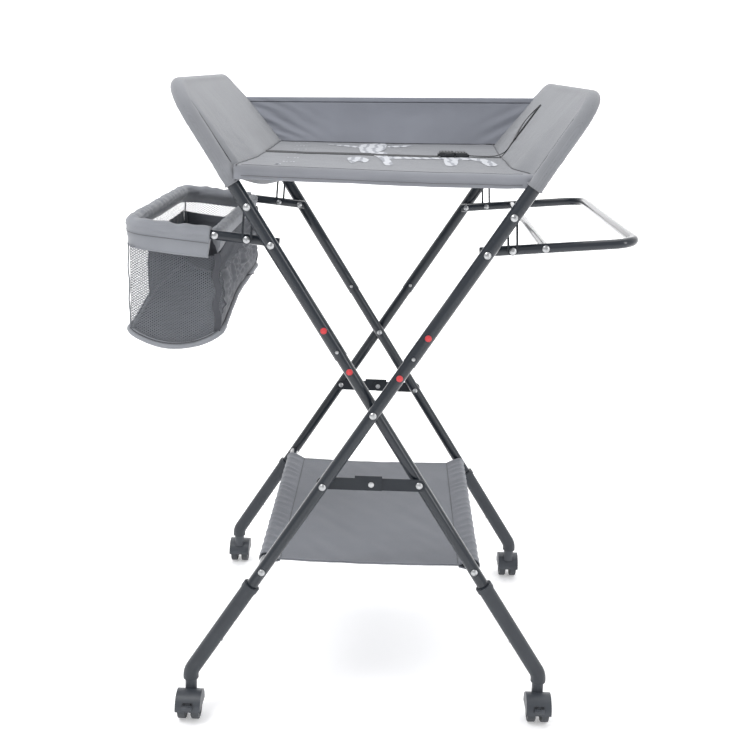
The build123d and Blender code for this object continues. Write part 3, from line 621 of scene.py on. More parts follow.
# Hem stitch along the front band, and the crease seams down both sides.
front_stitch, front_fold = [], []
for k in range(140):
    x = -0.205 + 0.412 * k / 139
    y = bed_front(x)
    base = bed_height(x, y + 0.0065)
    front_stitch.append((x, y - 0.0008 - 0.0010 * wobble(x, 3.0, 8.0, 18) * 0.7,
                         base - 0.0065 - 0.0085))
    front_fold.append(on_bed(x, y + 0.0075, 0.0001))
crosses(tube_path("bed_hem_stitch", front_stitch, 0.00055, SOFT_SEAM, 6))
crosses(tube_path("bed_fold_seam", front_fold, 0.0006, SOFT_SEAM, 6))
for side, label in ((-1, "left"), (1, "right")):
    crease = []
    for k in range(110):
        y = -0.279 + 0.530 * k / 109
        crease.append((inner_x(side, y, BED_Z) - side * 0.0002, y, bed_height(side * 0.2, y) + 0.0004))
    crosses(tube_path(f"bed_crease_{label}", crease, 0.0010, SEAM, 6))


# ---------------------------------------------------------------- back panel
def back_shape(s, t, depth):
    """s across from -1 to 1, t up from 0 to 1, depth from the front face backwards."""
    share = (s + 1) / 2
    top = 0.9765 + 0.0135 * share
    bottom = bed_height(s * 0.2, 0.24) - 0.004
    z = bottom + (top - bottom) * t
    y = 0.2445 + 0.004 * share + 0.0035 * t
    left, right = inner_x(-1, y, z) - 0.0045, inner_x(1, y, z) + 0.0045
    x = left + (right - left) * share
    y += 0.0035 * math.sin(math.pi * share) * math.sin(math.pi * min(1.0, t * 1.05))
    fade = math.sin(math.pi * min(1, t * 0.95 + 0.03))
    pull = math.exp(-(share / 0.16) ** 2)
    y += 0.0016 * pull * fade * math.sin((share * 70 + t * 16) + 2 * wobble(share, t, 3.0, 5))
    pull = math.exp(-((1 - share) / 0.10) ** 2)
    y += 0.0011 * pull * fade * math.sin((share * 60 - t * 14))
    y += 0.0016 * fade * wobble(share * 2.2, t * 0.9, 7.0, 2.4)
    hem = float(smooth01((t - 0.90) / 0.03)) * 0.0007
    groove = math.exp(-((t - 0.915) / 0.010) ** 2) * 0.0008
    return Vector((x, y + depth * (0.0022 + 2 * hem) - hem + groove * (1 - depth), z))


def make_back():
    ss = np.linspace(-1, 1, 181)
    ts = list(np.linspace(0, 0.88, 40)) + list(np.linspace(0.885, 1.0, 18))
    verts, uv = [], []
    for t in ts:
        for s in ss:
            verts.append(back_shape(s, t, 0.0))
            uv.append((s * 0.24, t * 0.085))
    for k in range(1, 6):
        a = math.pi * k / 6
        for s in ss:
            p = back_shape(s, 1.0, 0.5 - 0.5 * math.cos(a))
            p.z += 0.0018 * math.sin(a)
            verts.append(p)
            uv.append((s * 0.24, 0.085 + 0.002 * k / 6))
    for t in reversed(ts):
        for s in ss:
            verts.append(back_shape(s, t, 1.0))
            uv.append((s * 0.24, 0.09 + (1 - t) * 0.085))
    n = len(ss)
    rows = len(verts) // n
    faces = grid_faces(rows, n)
    last = (rows - 1) * n
    for j in range(n - 1):
        faces.append((last + j, last + j + 1, j + 1, j))
    for j in (0, n - 1):
        ring = [i * n + j for i in range(rows)]
        faces.append(tuple(reversed(ring)) if j else tuple(ring))
    return mesh_object("back_cloth", verts, faces, BACK, uv)


back = make_back()
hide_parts("back_panel")
crosses(back)
top_stitch = [back_shape(-1 + 2 * k / 160, 0.915, -0.05) for k in range(161)]
top_seam = crosses(tube_path("back_top_stitch", top_stitch, 0.0006, SEAM, 6))
foot_line = [back_shape(-0.985 + 1.97 * k / 160, 0.055, -0.3) for k in range(161)]
foot_seam = crosses(tube_path("back_foot_seam", foot_line, 0.0009, SEAM, 6))


# ---------------------------------------------------------------- shelf sling
SHELF_X, SHELF_Z, SHELF_HALF = 0.1703, 0.2597, 0.2465


def shelf_profile():
    """Middle line of the cloth from the stitch under one bar, over both bars, to the other stitch."""
    r = 0.0096
    pts = []
    for k in range(10):
        t = k / 9
        pts.append((-SHELF_X + 0.0235 * (1 - t), SHELF_Z - 0.0038 - (r - 0.0038) * t))
    for k in range(1, 22):
        a = math.radians(270 - 172 * k / 21)
        pts.append((-SHELF_X + r * math.cos(a), SHELF_Z + r * math.sin(a)))
    left = pts[-1]
    stitch = (-SHELF_X + 0.0245, SHELF_Z - 0.0012)
    for k in range(1, 9):
        t = k / 8
        pts.append((left[0] + (stitch[0] - left[0]) * t,
                    left[1] + (stitch[1] - left[1]) * t + 0.0012 * math.sin(math.pi * t)))
    for k in range(1, 60):
        t = k / 59
        x = stitch[0] + (-2 * stitch[0]) * t
        pts.append((x, stitch[1] - 0.0022 * (1 - (x / stitch[0]) ** 2)))
    half = pts[:39]
    pts += [(-x, z) for x, z in reversed(half[:-1])]
    return pts


def make_shelf():
    line = shelf_profile()
    n = len(line)
    ys = np.linspace(-SHELF_HALF, SHELF_HALF, 150)
    normals = []
    for i in range(n):
        a, b = line[max(0, i - 1)], line[min(n - 1, i + 1)]
        dx, dz = b[0] - a[0], b[1] - a[1]
        size = math.hypot(dx, dz) or 1
        normals.append((-dz / size, dx / size))
    lengths = [0.0]
    for i in range(1, n):
        lengths.append(lengths[-1] + math.dist(line[i], line[i - 1]))
    verts, uv = [], []
    ring = [(i, 1) for i in range(n)] + [(i, -1) for i in reversed(range(n))]
    for y in ys:
        for i, face in ring:
            x, z = line[i]
            nx, nz = normals[i]
            near = math.exp(-((SHELF_X - abs(x)) / 0.022) ** 2)
            sheet = 1 - math.exp(-((SHELF_X - abs(x)) / 0.05) ** 2)
            crinkle = 0.0010 * near * max(0.0, (abs(x) - SHELF_X + 0.03) / 0.03)
            push = crinkle * (math.sin(y * 240 + 3 * wobble(x, y, 1.0, 20))
                              + wobble(x * 0.3, y, 4.0, 130))
            push += 0.0014 * sheet * wobble(x * 0.8 + y * 0.35, y * 0.9, 2.0, 7)
            push += 0.0008 * sheet * wobble(x * 1.5 + y, y * 0.5, 8.0, 24)
            end = max(0.0, (abs(y) - SHELF_HALF + 0.006) / 0.006)
            thick = 0.00055 + 0.0006 * end
            on_bar = math.hypot(abs(x) - SHELF_X, z - SHELF_Z) < 0.0102
            if on_bar:
                push = max(push, 0.0) * 0.7
            verts.append((x + nx * (push + face * thick), y, z + nz * (push + face * thick)))
            uv.append((lengths[i], y))
    m = len(ring)
    faces = grid_faces(len(ys), m, wrap_cols=True)
    faces.append(tuple(reversed(range(m))))
    faces.append(tuple(range((len(ys) - 1) * m, len(ys) * m)))
    return mesh_object("shelf_cloth", verts, faces, SHELF, uv), lengths[-1]


shelf, shelf_width = make_shelf()
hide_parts("shelf")
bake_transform(shelf)
for side, label in ((-1, "left"), (1, "right")):
    line = []
    for k in range(120):
        y = -SHELF_HALF + 0.002 + (2 * SHELF_HALF - 0.004) * k / 119
        x = side * (SHELF_X - 0.0245)
        push = 0.0014 * (1 - math.exp(-0.24)) * wobble(x * 0.8 + y * 0.35, y * 0.9, 2.0, 7)
        line.append((x, y, SHELF_Z - 0.0004 + push))
    seam = tube_path(f"shelf_seam_{label}", line, 0.0006, SEAM, 6)
    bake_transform(seam)


# ---------------------------------------------------------------- strap and buckle
def webbing(name, points, ups, width, thick, material):
    """Flat woven strap with rounded edges, swept along points; ups are its face normals."""
    pts = [Vector(p) for p in points]
    section = []
    for k in range(16):
        a = 2 * math.pi * k / 16
        cx, cz = math.cos(a), math.sin(a)
        section.append((math.copysign(abs(cx) ** 0.35, cx) * width / 2,
                        math.copysign(abs(cz) ** 0.6, cz) * thick / 2))
    verts, uv = [], []
    length = 0.0
    for i, p in enumerate(pts):
        d = (pts[min(i + 1, len(pts) - 1)] - pts[max(i - 1, 0)]).normalized()
        if i:
            length += (p - pts[i - 1]).length
        up = Vector(ups[i])
        side = d.cross(up).normalized()
        up = side.cross(d).normalized()
        for w, h in section:
            verts.append(p + side * w + up * h)
            uv.append((w, length))
    m = len(section)
    faces = grid_faces(len(pts), m, wrap_cols=True)
    faces.append(tuple(range(m)))
    faces.append(tuple(reversed(range((len(pts) - 1) * m, len(pts) * m))))
    return mesh_object(name, verts, faces, material, uv), length


def slab(name, low, high, bevel, material, shift=(0, 0, 0)):
    """A block with rounded edges."""
    (x0, y0, z0), (x1, y1, z1) = low, high
    verts = [(x, y, z) for z in (z0, z1) for y in (y0, y1) for x in (x0, x1)]
    faces = [(0, 2, 3, 1), (4, 5, 7, 6), (0, 1, 5, 4), (2, 6, 7, 3), (0, 4, 6, 2), (1, 3, 7, 5)]
    verts = [tuple(v[i] + shift[i] for i in range(3)) for v in verts]
    obj = mesh_object(name, verts, faces, material, smooth=False)
    mod = obj.modifiers.new("edge", "BEVEL")
    mod.width, mod.segments = bevel, 3
    mod.limit_method = "NONE"
    mod.harden_normals = False
    bpy.context.view_layer.objects.active = obj
    with bpy.context.temp_override(object=obj, active_object=obj, selected_objects=[obj]):
        bpy.ops.object.modifier_apply(modifier="edge")
    obj.data.polygons.foreach_set("use_smooth", [True] * len(obj.data.polygons))
    return obj


STRAP_Y, STRAP_W, STRAP_T = -0.012, 0.011, 0.0012
left_line = []
for k in range(90):
    x = -0.2005 + 0.2935 * k / 89
    left_line.append(on_bed(x, STRAP_Y + 0.004 * wobble(x, 0, 21.0, 6),
                            0.0012 + 0.0010 * max(0.0, wobble(x, 0, 31.0, 9))))
strap_left, length_left = webbing("strap_left", left_line, [(0, -0.25, 1)] * 90, STRAP_W, STRAP_T,
                                  WEBBING)
route = [on_bed(0.1405, STRAP_Y, 0.0030), on_bed(0.165, -0.014, 0.0022),
         on_bed(0.188, -0.012, 0.0028)]
climb = [(-0.008, 0.4330), (0.012, 0.453), (0.034, 0.476), (0.056, 0.500), (0.075, 0.520),
         (0.083, 0.5285)]
for y, u in climb:
    off = SLEEVE * 0.96 + wedge(1, y, u) + 0.0020
    route.append(leg_point(1, y, u, -off))
right_line = smooth_line(route, 0.004)
inward = leg_point(1, 0, 0, -1) - leg_point(1, 0, 0, 0)
right_ups = []
for p in right_line:
    mix = float(smooth01((p.x - 0.180) / 0.024))
    right_ups.append(Vector((0, 0, 1)).lerp(inward, mix))
strap_right, length_right = webbing("strap_right", right_line, right_ups, STRAP_W, STRAP_T, WEBBING)
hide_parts("strap")
for piece in (strap_left, strap_right):
    crosses(piece)

# Loop of webbing between two buttonholes on the right panel.
loop = []
for k in range(30):
    t = k / 29
    y, u = 0.088 - 0.062 * t, 0.527 - 0.067 * t
    off = SLEEVE * 0.96 + wedge(1, y, u) + 0.0014 + 0.0040 * math.sin(math.pi * t)
    loop.append(leg_point(1, y, u, -off))
loop_strap, loop_length = webbing("loop_strap", loop, [inward] * 30, 0.010, 0.0016, WEBBING)
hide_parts("strap_loop")
rides(loop_strap, "outer_frame")
for label, y, u in (("high", 0.0870, 0.5290), ("low", 0.0250, 0.4590)):
    off = SLEEVE * 0.96 + wedge(1, y, u) + 0.0004
    ring = []
    for k in range(28):
        a = 2 * math.pi * k / 28
        ring.append(leg_point(1, y + 0.0105 * math.cos(a), u + 0.0028 * math.sin(a), -off))
    hole = tube_path(f"buttonhole_{label}", ring, 0.0013, SEAM, 8, closed=True)
    rides(hole, "outer_frame")

buckle_z = bed_height(0.118, STRAP_Y) + 0.0003


def buckle_part(name, low, high, bevel):
    return slab(name, low, high, bevel, BUCKLE, (0, 0, buckle_z))


parts = [
    buckle_part("buckle_body", (0.0945, -0.0335, 0.0006), (0.1200, -0.0025, 0.0092), 0.0022),
    buckle_part("buckle_head", (0.1207, -0.0335, 0.0006), (0.1410, -0.0025, 0.0088), 0.0022),
    buckle_part("buckle_window_near", (0.1035, -0.0352, 0.0026), (0.1155, -0.0325, 0.0072), 0.0009),
    buckle_part("buckle_window_far", (0.1035, -0.0035, 0.0026), (0.1155, -0.0008, 0.0072), 0.0009),
    buckle_part("buckle_bar_left", (0.0915, -0.0300, 0.0014), (0.0950, -0.0060, 0.0062), 0.0012),
    buckle_part("buckle_bar_right", (0.1405, -0.0300, 0.0014), (0.1440, -0.0060, 0.0060), 0.0012),
]
for i in range(4):
    x = 0.0985 + 0.0052 * i
    parts.append(buckle_part(f"buckle_rib_{i}", (x, -0.0290, 0.0088), (x + 0.0022, -0.0070, 0.0102), 0.0006))
for i in range(3):
    x = 0.1250 + 0.0050 * i
    parts.append(buckle_part(f"buckle_grip_{i}", (x, -0.0290, 0.0084), (x + 0.0020, -0.0070, 0.0098), 0.0006))
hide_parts("buckle_socket")
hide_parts("buckle_clip")
for part in parts:
    crosses(part)


# ---------------------------------------------------------------- white print on the bed
def patch(name, outline):
    """A flat printed shape lying on the bed, cut from its outline."""
    lift = 0.0006
    smooth_outline = []
    count = len(outline)
    for i in range(count):
        p0, p1 = Vector(outline[i - 1]), Vector(outline[i])
        p2, p3 = Vector(outline[(i + 1) % count]), Vector(outline[(i + 2) % count])
        for k in range(5):
            t = k / 5
            smooth_outline.append(0.5 * ((2 * p1) + (p2 - p0) * t * 0.7
                                         + (2 * p0 - 5 * p1 + 4 * p2 - p3) * t * t * 0.7
                                         + (3 * p1 - p0 - 3 * p2 + p3) * t ** 3 * 0.7)
                                  + (p2 - p1) * t * 0.3)
    bm = bmesh.new()
    ring = [bm.verts.new((p[0], p[1], 0)) for p in smooth_outline]
    bm.faces.new(ring)
    bmesh.ops.triangulate(bm, faces=bm.faces[:])
    for _ in range(4):
        long_edges = [e for e in bm.edges if e.calc_length() > 0.005]
        if long_edges:
            bmesh.ops.subdivide_edges(bm, edges=long_edges, cuts=1)
            bmesh.ops.triangulate(bm, faces=bm.faces[:])
    mesh = bpy.data.meshes.new(name)
    bm.to_mesh(mesh)
    bm.free()
    for v in mesh.vertices:
        v.co.z = bed_height(v.co.x, v.co.y) + lift
    layer = mesh.uv_layers.new(name="metres")
    for loop_item in mesh.loops:
        co = mesh.vertices[loop_item.vertex_index].co
        layer.data[loop_item.index].uv = (co.x, co.y)
    obj = bpy.data.objects.new(name, mesh)
    bpy.context.scene.collection.objects.link(obj)
    mesh.materials.append(PRINT)
    mesh.polygons.foreach_set("use_smooth", [True] * len(mesh.polygons))
    for poly in mesh.polygons:
        if poly.normal.z < 0:
            poly.flip()
    return crosses(obj)


patch("print_horn", [(-0.113, 0.186), (-0.080, 0.178), (-0.050, 0.160), (-0.048, 0.120),
                     (-0.072, 0.150)])
patch("print_head", [(-0.047, 0.190), (-0.020, 0.235), (0.002, 0.235), (0.003, 0.165),
                     (0.000, 0.070), (-0.020, 0.020), (-0.038, 0.020), (-0.044, 0.090)])
patch("print_ear", [(0.006, 0.180), (0.028, 0.200), (0.052, 0.210), (0.036, 0.165), (0.010, 0.148)])
patch("print_leg_one", [(-0.057, -0.090), (-0.038, -0.062), (-0.021, -0.105), (-0.026, -0.165),
                        (-0.038, -0.140), (-0.046, -0.185)])
patch("print_leg_two", [(-0.022, 0.030), (0.004, 0.030), (0.010, -0.080), (0.018, -0.185),
                        (0.006, -0.200), (-0.004, -0.090)])
patch("print_body", [(0.012, -0.028), (0.050, -0.024), (0.095, -0.026), (0.135, -0.024),
                     (0.158, -0.060), (0.146, -0.088), (0.100, -0.082), (0.045, -0.086),
                     (0.010, -0.088)])
patch("print_leg_three", [(0.100, -0.080), (0.122, -0.076), (0.116, -0.178), (0.100, -0.184)])
patch("print_leg_four", [(0.145, -0.084), (0.168, -0.060), (0.182, -0.150), (0.166, -0.185),
                         (0.156, -0.110)])
for row, (x0, y0, wide) in enumerate(((-0.168, 0.208, 0.022), (-0.158, 0.135, 0.018),
                                      (-0.156, 0.055, 0.020), (-0.152, -0.040, 0.016),
                                      (-0.150, -0.122, 0.015), (-0.150, -0.194, 0.015))):
    for k in range(4):
        x = x0 + wide * k / 3
        patch(f"print_tick_{row}_{k}", [(x - 0.0016, y0 - 0.004), (x + 0.0012, y0 - 0.004),
                                        (x + 0.0016, y0 + 0.004), (x - 0.0012, y0 + 0.004)])
ring_line = []
for k in range(30):
    a = 2 * math.pi * k / 30
    x, y = -0.155 + 0.0042 * math.cos(a), -0.240 + 0.0075 * math.sin(a)
    ring_line.append(on_bed(x, y, 0.0004))
crosses(tube_path("print_ring", ring_line, 0.0010, PRINT, 6, closed=True, flat=0.4))


# ---------------------------------------------------------------- basket
RISE = math.radians(5.3)
HINGE = Vector((-0.1612, 0.0, 0.7800))
OUTWARD = Vector((-math.cos(RISE), 0, math.sin(RISE)))
UPWARD = Vector((math.sin(RISE), 0, math.cos(RISE)))
RIM_Y, RIM_IN, RIM_OUT, RIM_BEND = 0.2405, 0.0890, 0.2220, 0.0350


def rim_point(reach, y, lift=0.0):
    p = HINGE + OUTWARD * reach + UPWARD * lift
    p.y = y
    return p


def rim_loop():
    """(reach, y, outward reach, outward y) round the rim from the front crossbar end."""
    out = []
    for k in range(36):
        out.append((RIM_IN + 0.007 + (RIM_OUT - RIM_BEND - RIM_IN - 0.007) * k / 35, -RIM_Y, 0, -1))
    for k in range(1, 16):
        a = math.pi / 2 * k / 15
        out.append((RIM_OUT - RIM_BEND + RIM_BEND * math.sin(a), -RIM_Y + RIM_BEND * (1 - math.cos(a)),
                    math.sin(a), -math.cos(a)))
    for k in range(1, 100):
        out.append((RIM_OUT, -RIM_Y + RIM_BEND + 2 * (RIM_Y - RIM_BEND) * k / 99, 1, 0))
    for k in range(1, 16):
        a = math.pi / 2 * k / 15
        out.append((RIM_OUT - RIM_BEND * (1 - math.cos(a)), RIM_Y - RIM_BEND + RIM_BEND * math.sin(a),
                    math.cos(a), math.sin(a)))
    for k in range(1, 36):
        out.append((RIM_OUT - RIM_BEND + (RIM_IN + 0.007 - RIM_OUT + RIM_BEND) * k / 35, RIM_Y, 0, 1))
    return out


def band_drop(y):
    """How far the rim band hangs below the tube: deep in front, shallow behind."""
    return 0.036 - 0.014 * float(smooth01((y + 0.24) / 0.16))


def on_basket(obj):
    rides(obj, "basket_swing")
    return obj


def rim_cloth(name, stations, radius, drop_scale, material, ruffle):
    """Cloth folded over a tube and hanging as a flat band: stations are (point, outward)."""
    section = []
    for k in range(25):
        section.append(("arc", math.radians(-25 + 230 * k / 24)))
    for k in range(1, 11):
        section.append(("in", k / 10))
    for k in range(0, 10):
        section.append(("out", 1 - k / 10))
    verts, uv = [], []
    length = 0.0
    for i, (p, outward) in enumerate(stations):
        if i:
            length += (p - stations[i - 1][0]).length
        fold = math.sin(length * 210 + 6 * wobble(length, 0, 3.0, 14))
        fold += 0.7 * math.sin(length * 95 + 5 * wobble(length, 4.0, 3.0, 9))
        v = 0.0
        drop = band_drop(p.y) * drop_scale
        for kind, value in section:
            if kind == "arc":
                top = max(0.0, math.sin(value))
                r = radius + 0.0007 * ruffle * fold * (0.35 + 0.65 * top)
                r += 0.0010 * ruffle * wobble(length, value, 5.0, 34)
                o, n = r * math.cos(value), r * math.sin(value)
                v = r * value
            else:
                a = math.radians(205 if kind == "in" else -25)
                o0, n0 = radius * math.cos(a), radius * math.sin(a)
                o1 = 0.0052 if kind == "out" else 0.0036
                o = o0 + (o1 - o0) * float(smooth01(value)) * 0.55 + (o1 - o0) * value * 0.45
                n = n0 + (-drop - n0) * value
                calm = math.sin(math.pi * min(1.0, value * 1.1))
                o += 0.0008 * ruffle * calm * wobble(length, value, 9.0, 26)
                o += 0.0016 * value * wobble(length, 2.0, 12.0, 9)
                n += 0.0012 * value * wobble(length, 8.0, 12.0, 11)
                v = (0.03 if kind == "in" else -0.02) - value * drop
            verts.append(p + outward * o + UPWARD * n)
            uv.append((length, v))
    m = len(section)
    faces = grid_faces(len(stations), m, wrap_cols=True)
    faces.append(tuple(reversed(range(m))))
    faces.append(tuple(range((len(stations) - 1) * m, len(stations) * m)))
    obj = mesh_object(name, verts, faces, material, uv)
    return on_basket(obj), length


rim = rim_loop()
stations = []
for reach, y, o_reach, o_y in rim:
    outward = OUTWARD * o_reach + Vector((0, o_y, 0))
    stations.append((rim_point(reach, y), outward.normalized()))
rim_sleeve, rim_length = rim_cloth("basket_rim", stations, 0.0112, 1.0, TRIM, 1.3)
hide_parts("basket")
stations = []
for k in range(110):
    y = -0.2285 + 0.457 * k / 109
    stations.append((rim_point(RIM_IN, y), -OUTWARD))
bar_sleeve, bar_length = rim_cloth("basket_bar_sleeve", stations, 0.0088, 0.8, TRIM, 1.8)
seam_line = []
for reach, y, o_reach, o_y in rim:
    outward = (OUTWARD * o_reach + Vector((0, o_y, 0))).normalized()
    seam_line.append(rim_point(reach, y, -0.0125) + outward * 0.0103)
rim_seam = on_basket(tube_path("basket_rim_stitch", seam_line, 0.0005, SOFT_SEAM, 6))
edge_line = []
for reach, y, o_reach, o_y in rim:
    outward = (OUTWARD * o_reach + Vector((0, o_y, 0))).normalized()
    edge_line.append(rim_point(reach, y, 0.0015 - band_drop(y)) + outward * 0.0052)
rim_edge = on_basket(tube_path("basket_rim_edge", edge_line, 0.0013, TRIM, 8))

FLOOR_X, FLOOR_HALF_X, FLOOR_HALF_Y = -0.3150, 0.0715, 0.2435


def floor_z(x, y):
    across = (x - FLOOR_X) / FLOOR_HALF_X
    rise = 0.026 * float(smooth01((y + 0.235) / 0.22))
    return 0.6135 + rise + 0.0225 * across * across + 0.0012 * wobble(x, y, 3.0, 20)


def floor_loop():
    """(x, y) round the floor, starting at the inner front corner like the rim."""
    r = 0.018
    corners = [(FLOOR_X + FLOOR_HALF_X - r, -FLOOR_HALF_Y + r, 0),
               (FLOOR_X - FLOOR_HALF_X + r, -FLOOR_HALF_Y + r, 1),
               (FLOOR_X - FLOOR_HALF_X + r, FLOOR_HALF_Y - r, 2),
               (FLOOR_X + FLOOR_HALF_X - r, FLOOR_HALF_Y - r, 3)]
    pts = []
    for cx, cy, turn in corners:
        for k in range(7):
            a = -math.pi * turn / 2 - math.pi / 2 * k / 6
            pts.append((cx + r * math.cos(a), cy + r * math.sin(a)))
    out = []
    count = len(pts)
    for i in range(count):
        a, b = pts[i], pts[(i + 1) % count]
        steps = max(1, int(math.dist(a, b) / 0.006))
        for k in range(steps):
            out.append((a[0] + (b[0] - a[0]) * k / steps, a[1] + (b[1] - a[1]) * k / steps))
    return out


def wall_top(x, y):
    """Where the net starts above a floor point: just under the rim band."""
    reach = (HINGE.x - x) / math.cos(RISE)
    reach = min(RIM_OUT, max(RIM_IN, reach))
    return rim_point(reach, y, 0.003 - band_drop(y)).z


FLOOR_RING = floor_loop()


def wall_point(x, y, t, sway=1.0):
    """Down the basket's wall: t 0 under the band, 1 at the floor."""
    top = wall_top(x, y)
    inset = 0.0028 * (1 - t)
    dx, dy = x - FLOOR_X, y
    px = x - math.copysign(inset, dx) if abs(dx) > FLOOR_HALF_X - 0.004 else x
    py = y - math.copysign(inset, dy) if abs(dy) > FLOOR_HALF_Y - 0.004 else y
    z = top + (floor_z(x, y) - top) * t
    belly = math.sin(math.pi * t)
    inner = 1.0 if dx > FLOOR_HALF_X - 0.003 else 0.0
    outer = 1.0 if dx < -FLOOR_HALF_X + 0.003 else 0.0
    px += sway * belly * (0.006 * inner * wobble(y, t, 2.0, 13) + 0.0022 * outer * wobble(y, t, 6.0, 9))
    px += sway * 0.004 * inner * belly
    if abs(dy) > FLOOR_HALF_Y - 0.003:
        py -= sway * math.copysign(0.0025 * belly * (1 + wobble(x, t, 9.0, 18)), dy)
    return Vector((px, py, z))


def net_wall(name, ring, t0, t1, material, rows=46, sway=1.0, closed=False):
    verts, uv = [], []
    lengths = [0.0]
    for i in range(1, len(ring)):
        lengths.append(lengths[-1] + math.dist(ring[i], ring[i - 1]))
    for k in range(rows):
        t = t0 + (t1 - t0) * k / (rows - 1)
        for i, (x, y) in enumerate(ring):
            p = wall_point(x, y, t, sway)
            verts.append(p)
            uv.append((lengths[i], p.z))
    faces = grid_faces(rows, len(ring), wrap_cols=closed)
    return on_basket(mesh_object(name, verts, faces, material, uv))


ring = FLOOR_RING
front_ring = [p for p in ring if p[1] < -FLOOR_HALF_Y + 0.019]
outer_ring = [p for p in ring if p[0] < FLOOR_X and abs(p[1]) <= FLOOR_HALF_Y - 0.017]
outer_ring.sort(key=lambda p: p[1])
rear_ring = sorted((p for p in ring if p[1] > FLOOR_HALF_Y - 0.019), key=lambda p: p[0])
inner_ring = sorted((p for p in ring if p[0] > FLOOR_X and abs(p[1]) <= FLOOR_HALF_Y - 0.017),
                    key=lambda p: p[1])
front_ring.sort(key=lambda p: (p[0], -p[1] if p[0] < FLOOR_X else p[1]))
nets = [
    net_wall("basket_net_front", front_ring, 0.0, 1.0, NET),
    net_wall("basket_net_outer", outer_ring, 0.0, 1.0, NET_SIDE),
    net_wall("basket_net_rear", rear_ring, 0.0, 0.22, NET, rows=14),
    net_wall("basket_net_inner", inner_ring, 0.0, 0.45, NET, rows=22),
]


def solid_wall(name, ring, t0, t1, inset, material, ripple, rows=40):
    """A cloth wall 1.2 mm thick."""
    verts, uv = [], []
    lengths = [0.0]
    for i in range(1, len(ring)):
        lengths.append(lengths[-1] + math.dist(ring[i], ring[i - 1]))
    for face in (0, 1):
        for k in range(rows):
            for i, (x, y) in enumerate(ring):
                share = lengths[i] / lengths[-1]
                start = t0(share) if callable(t0) else t0
                t = start + (t1 - start) * k / (rows - 1)
                p = wall_point(x, y, t)
                inward = Vector((FLOOR_X - x, 0, 0)) if abs(x - FLOOR_X) > FLOOR_HALF_X - 0.003 \
                    else Vector((0, -y, 0))
                inward.normalize()
                belly = math.sin(math.pi * min(1.0, t * 1.02))
                push = inset + 0.0012 * face
                push += ripple * belly * (0.7 * math.sin(share * 62 + 4 * wobble(share, t * 0.4, 5.0, 3))
                                          + 0.8 * wobble(share * 4, t * 0.7, 7.0, 2.5))
                p = p + inward * push
                verts.append(p)
                uv.append((lengths[i], p.z))
    count = rows * len(ring)
    faces = grid_faces(rows, len(ring)) + grid_faces(rows, len(ring), start=count, flip=True)
    n = len(ring)
    for i in range(n - 1):
        faces.append((i + 1, i, count + i, count + i + 1))
        e = (rows - 1) * n + i
        faces.append((e, e + 1, count + e + 1, count + e))
    for k in range(rows - 1):
        a, b = k * n, (k + 1) * n
        faces.append((a, b, count + b, count + a))
        a, b = a + n - 1, b + n - 1
        faces.append((b, a, count + a, count + b))
    return on_basket(mesh_object(name, verts, faces, material, uv))


rear_panel = solid_wall("basket_rear_panel", rear_ring, 0.17, 1.0, 0.002, DARK_CLOTH, 0.0018)
solid_ring = [p for p in outer_ring if p[1] > -0.095]
outer_panel = solid_wall("basket_outer_panel", solid_ring, 0.15, 1.0, 0.0015, DARK_CLOTH, 0.0030)
inner_drape = solid_wall("basket_inner_drape", inner_ring,
                         lambda s: 0.22 + 0.16 * math.sin(math.pi * min(1.0, s)) + 0.05 * s, 1.0, 0.001,
                         DARK_CLOTH, 0.0042)


def make_floor():
    verts, uv = [], []
    rings = 14
    for face in (0, 1):
        for k in range(rings):
            scale = 1 - k / (rings - 1) * 0.985
            for x, y in FLOOR_RING:
                px = FLOOR_X + (x - FLOOR_X) * scale
                py = y * scale
                verts.append((px, py, floor_z(px, py) + 0.0012 * (1 - face)))
                uv.append((px, py))
    n = len(FLOOR_RING)
    count = rings * n
    faces = grid_faces(rings, n, wrap_cols=True, flip=True)
    faces += grid_faces(rings, n, wrap_cols=True, start=count)
    faces.append(tuple(range((rings - 1) * n, rings * n)))
    faces.append(tuple(reversed(range(count + (rings - 1) * n, count + rings * n))))
    for i in range(n):
        j = (i + 1) % n
        faces.append((i, j, count + j, count + i))
    return on_basket(mesh_object("basket_floor", verts, faces, DARK_CLOTH, uv))


floor_cloth = make_floor()
trim_line = [(x, y, floor_z(x, y) - 0.0005) for x, y in FLOOR_RING]
radii = [0.0044 + 0.0012 * (y < -0.2) + 0.0005 * wobble(x, y, 3.0, 40) for x, y in FLOOR_RING]
floor_trim = on_basket(tube_path("basket_floor_trim", trim_line, radii, TRIM, 12, closed=True))
piping_line = [(x, y - 0.0050 if y < -0.22 else y, floor_z(x, y) + 0.0046) for x, y in FLOOR_RING]
floor_piping = on_basket(tube_path("basket_floor_piping", piping_line, 0.0009, SEAM, 6, closed=True))

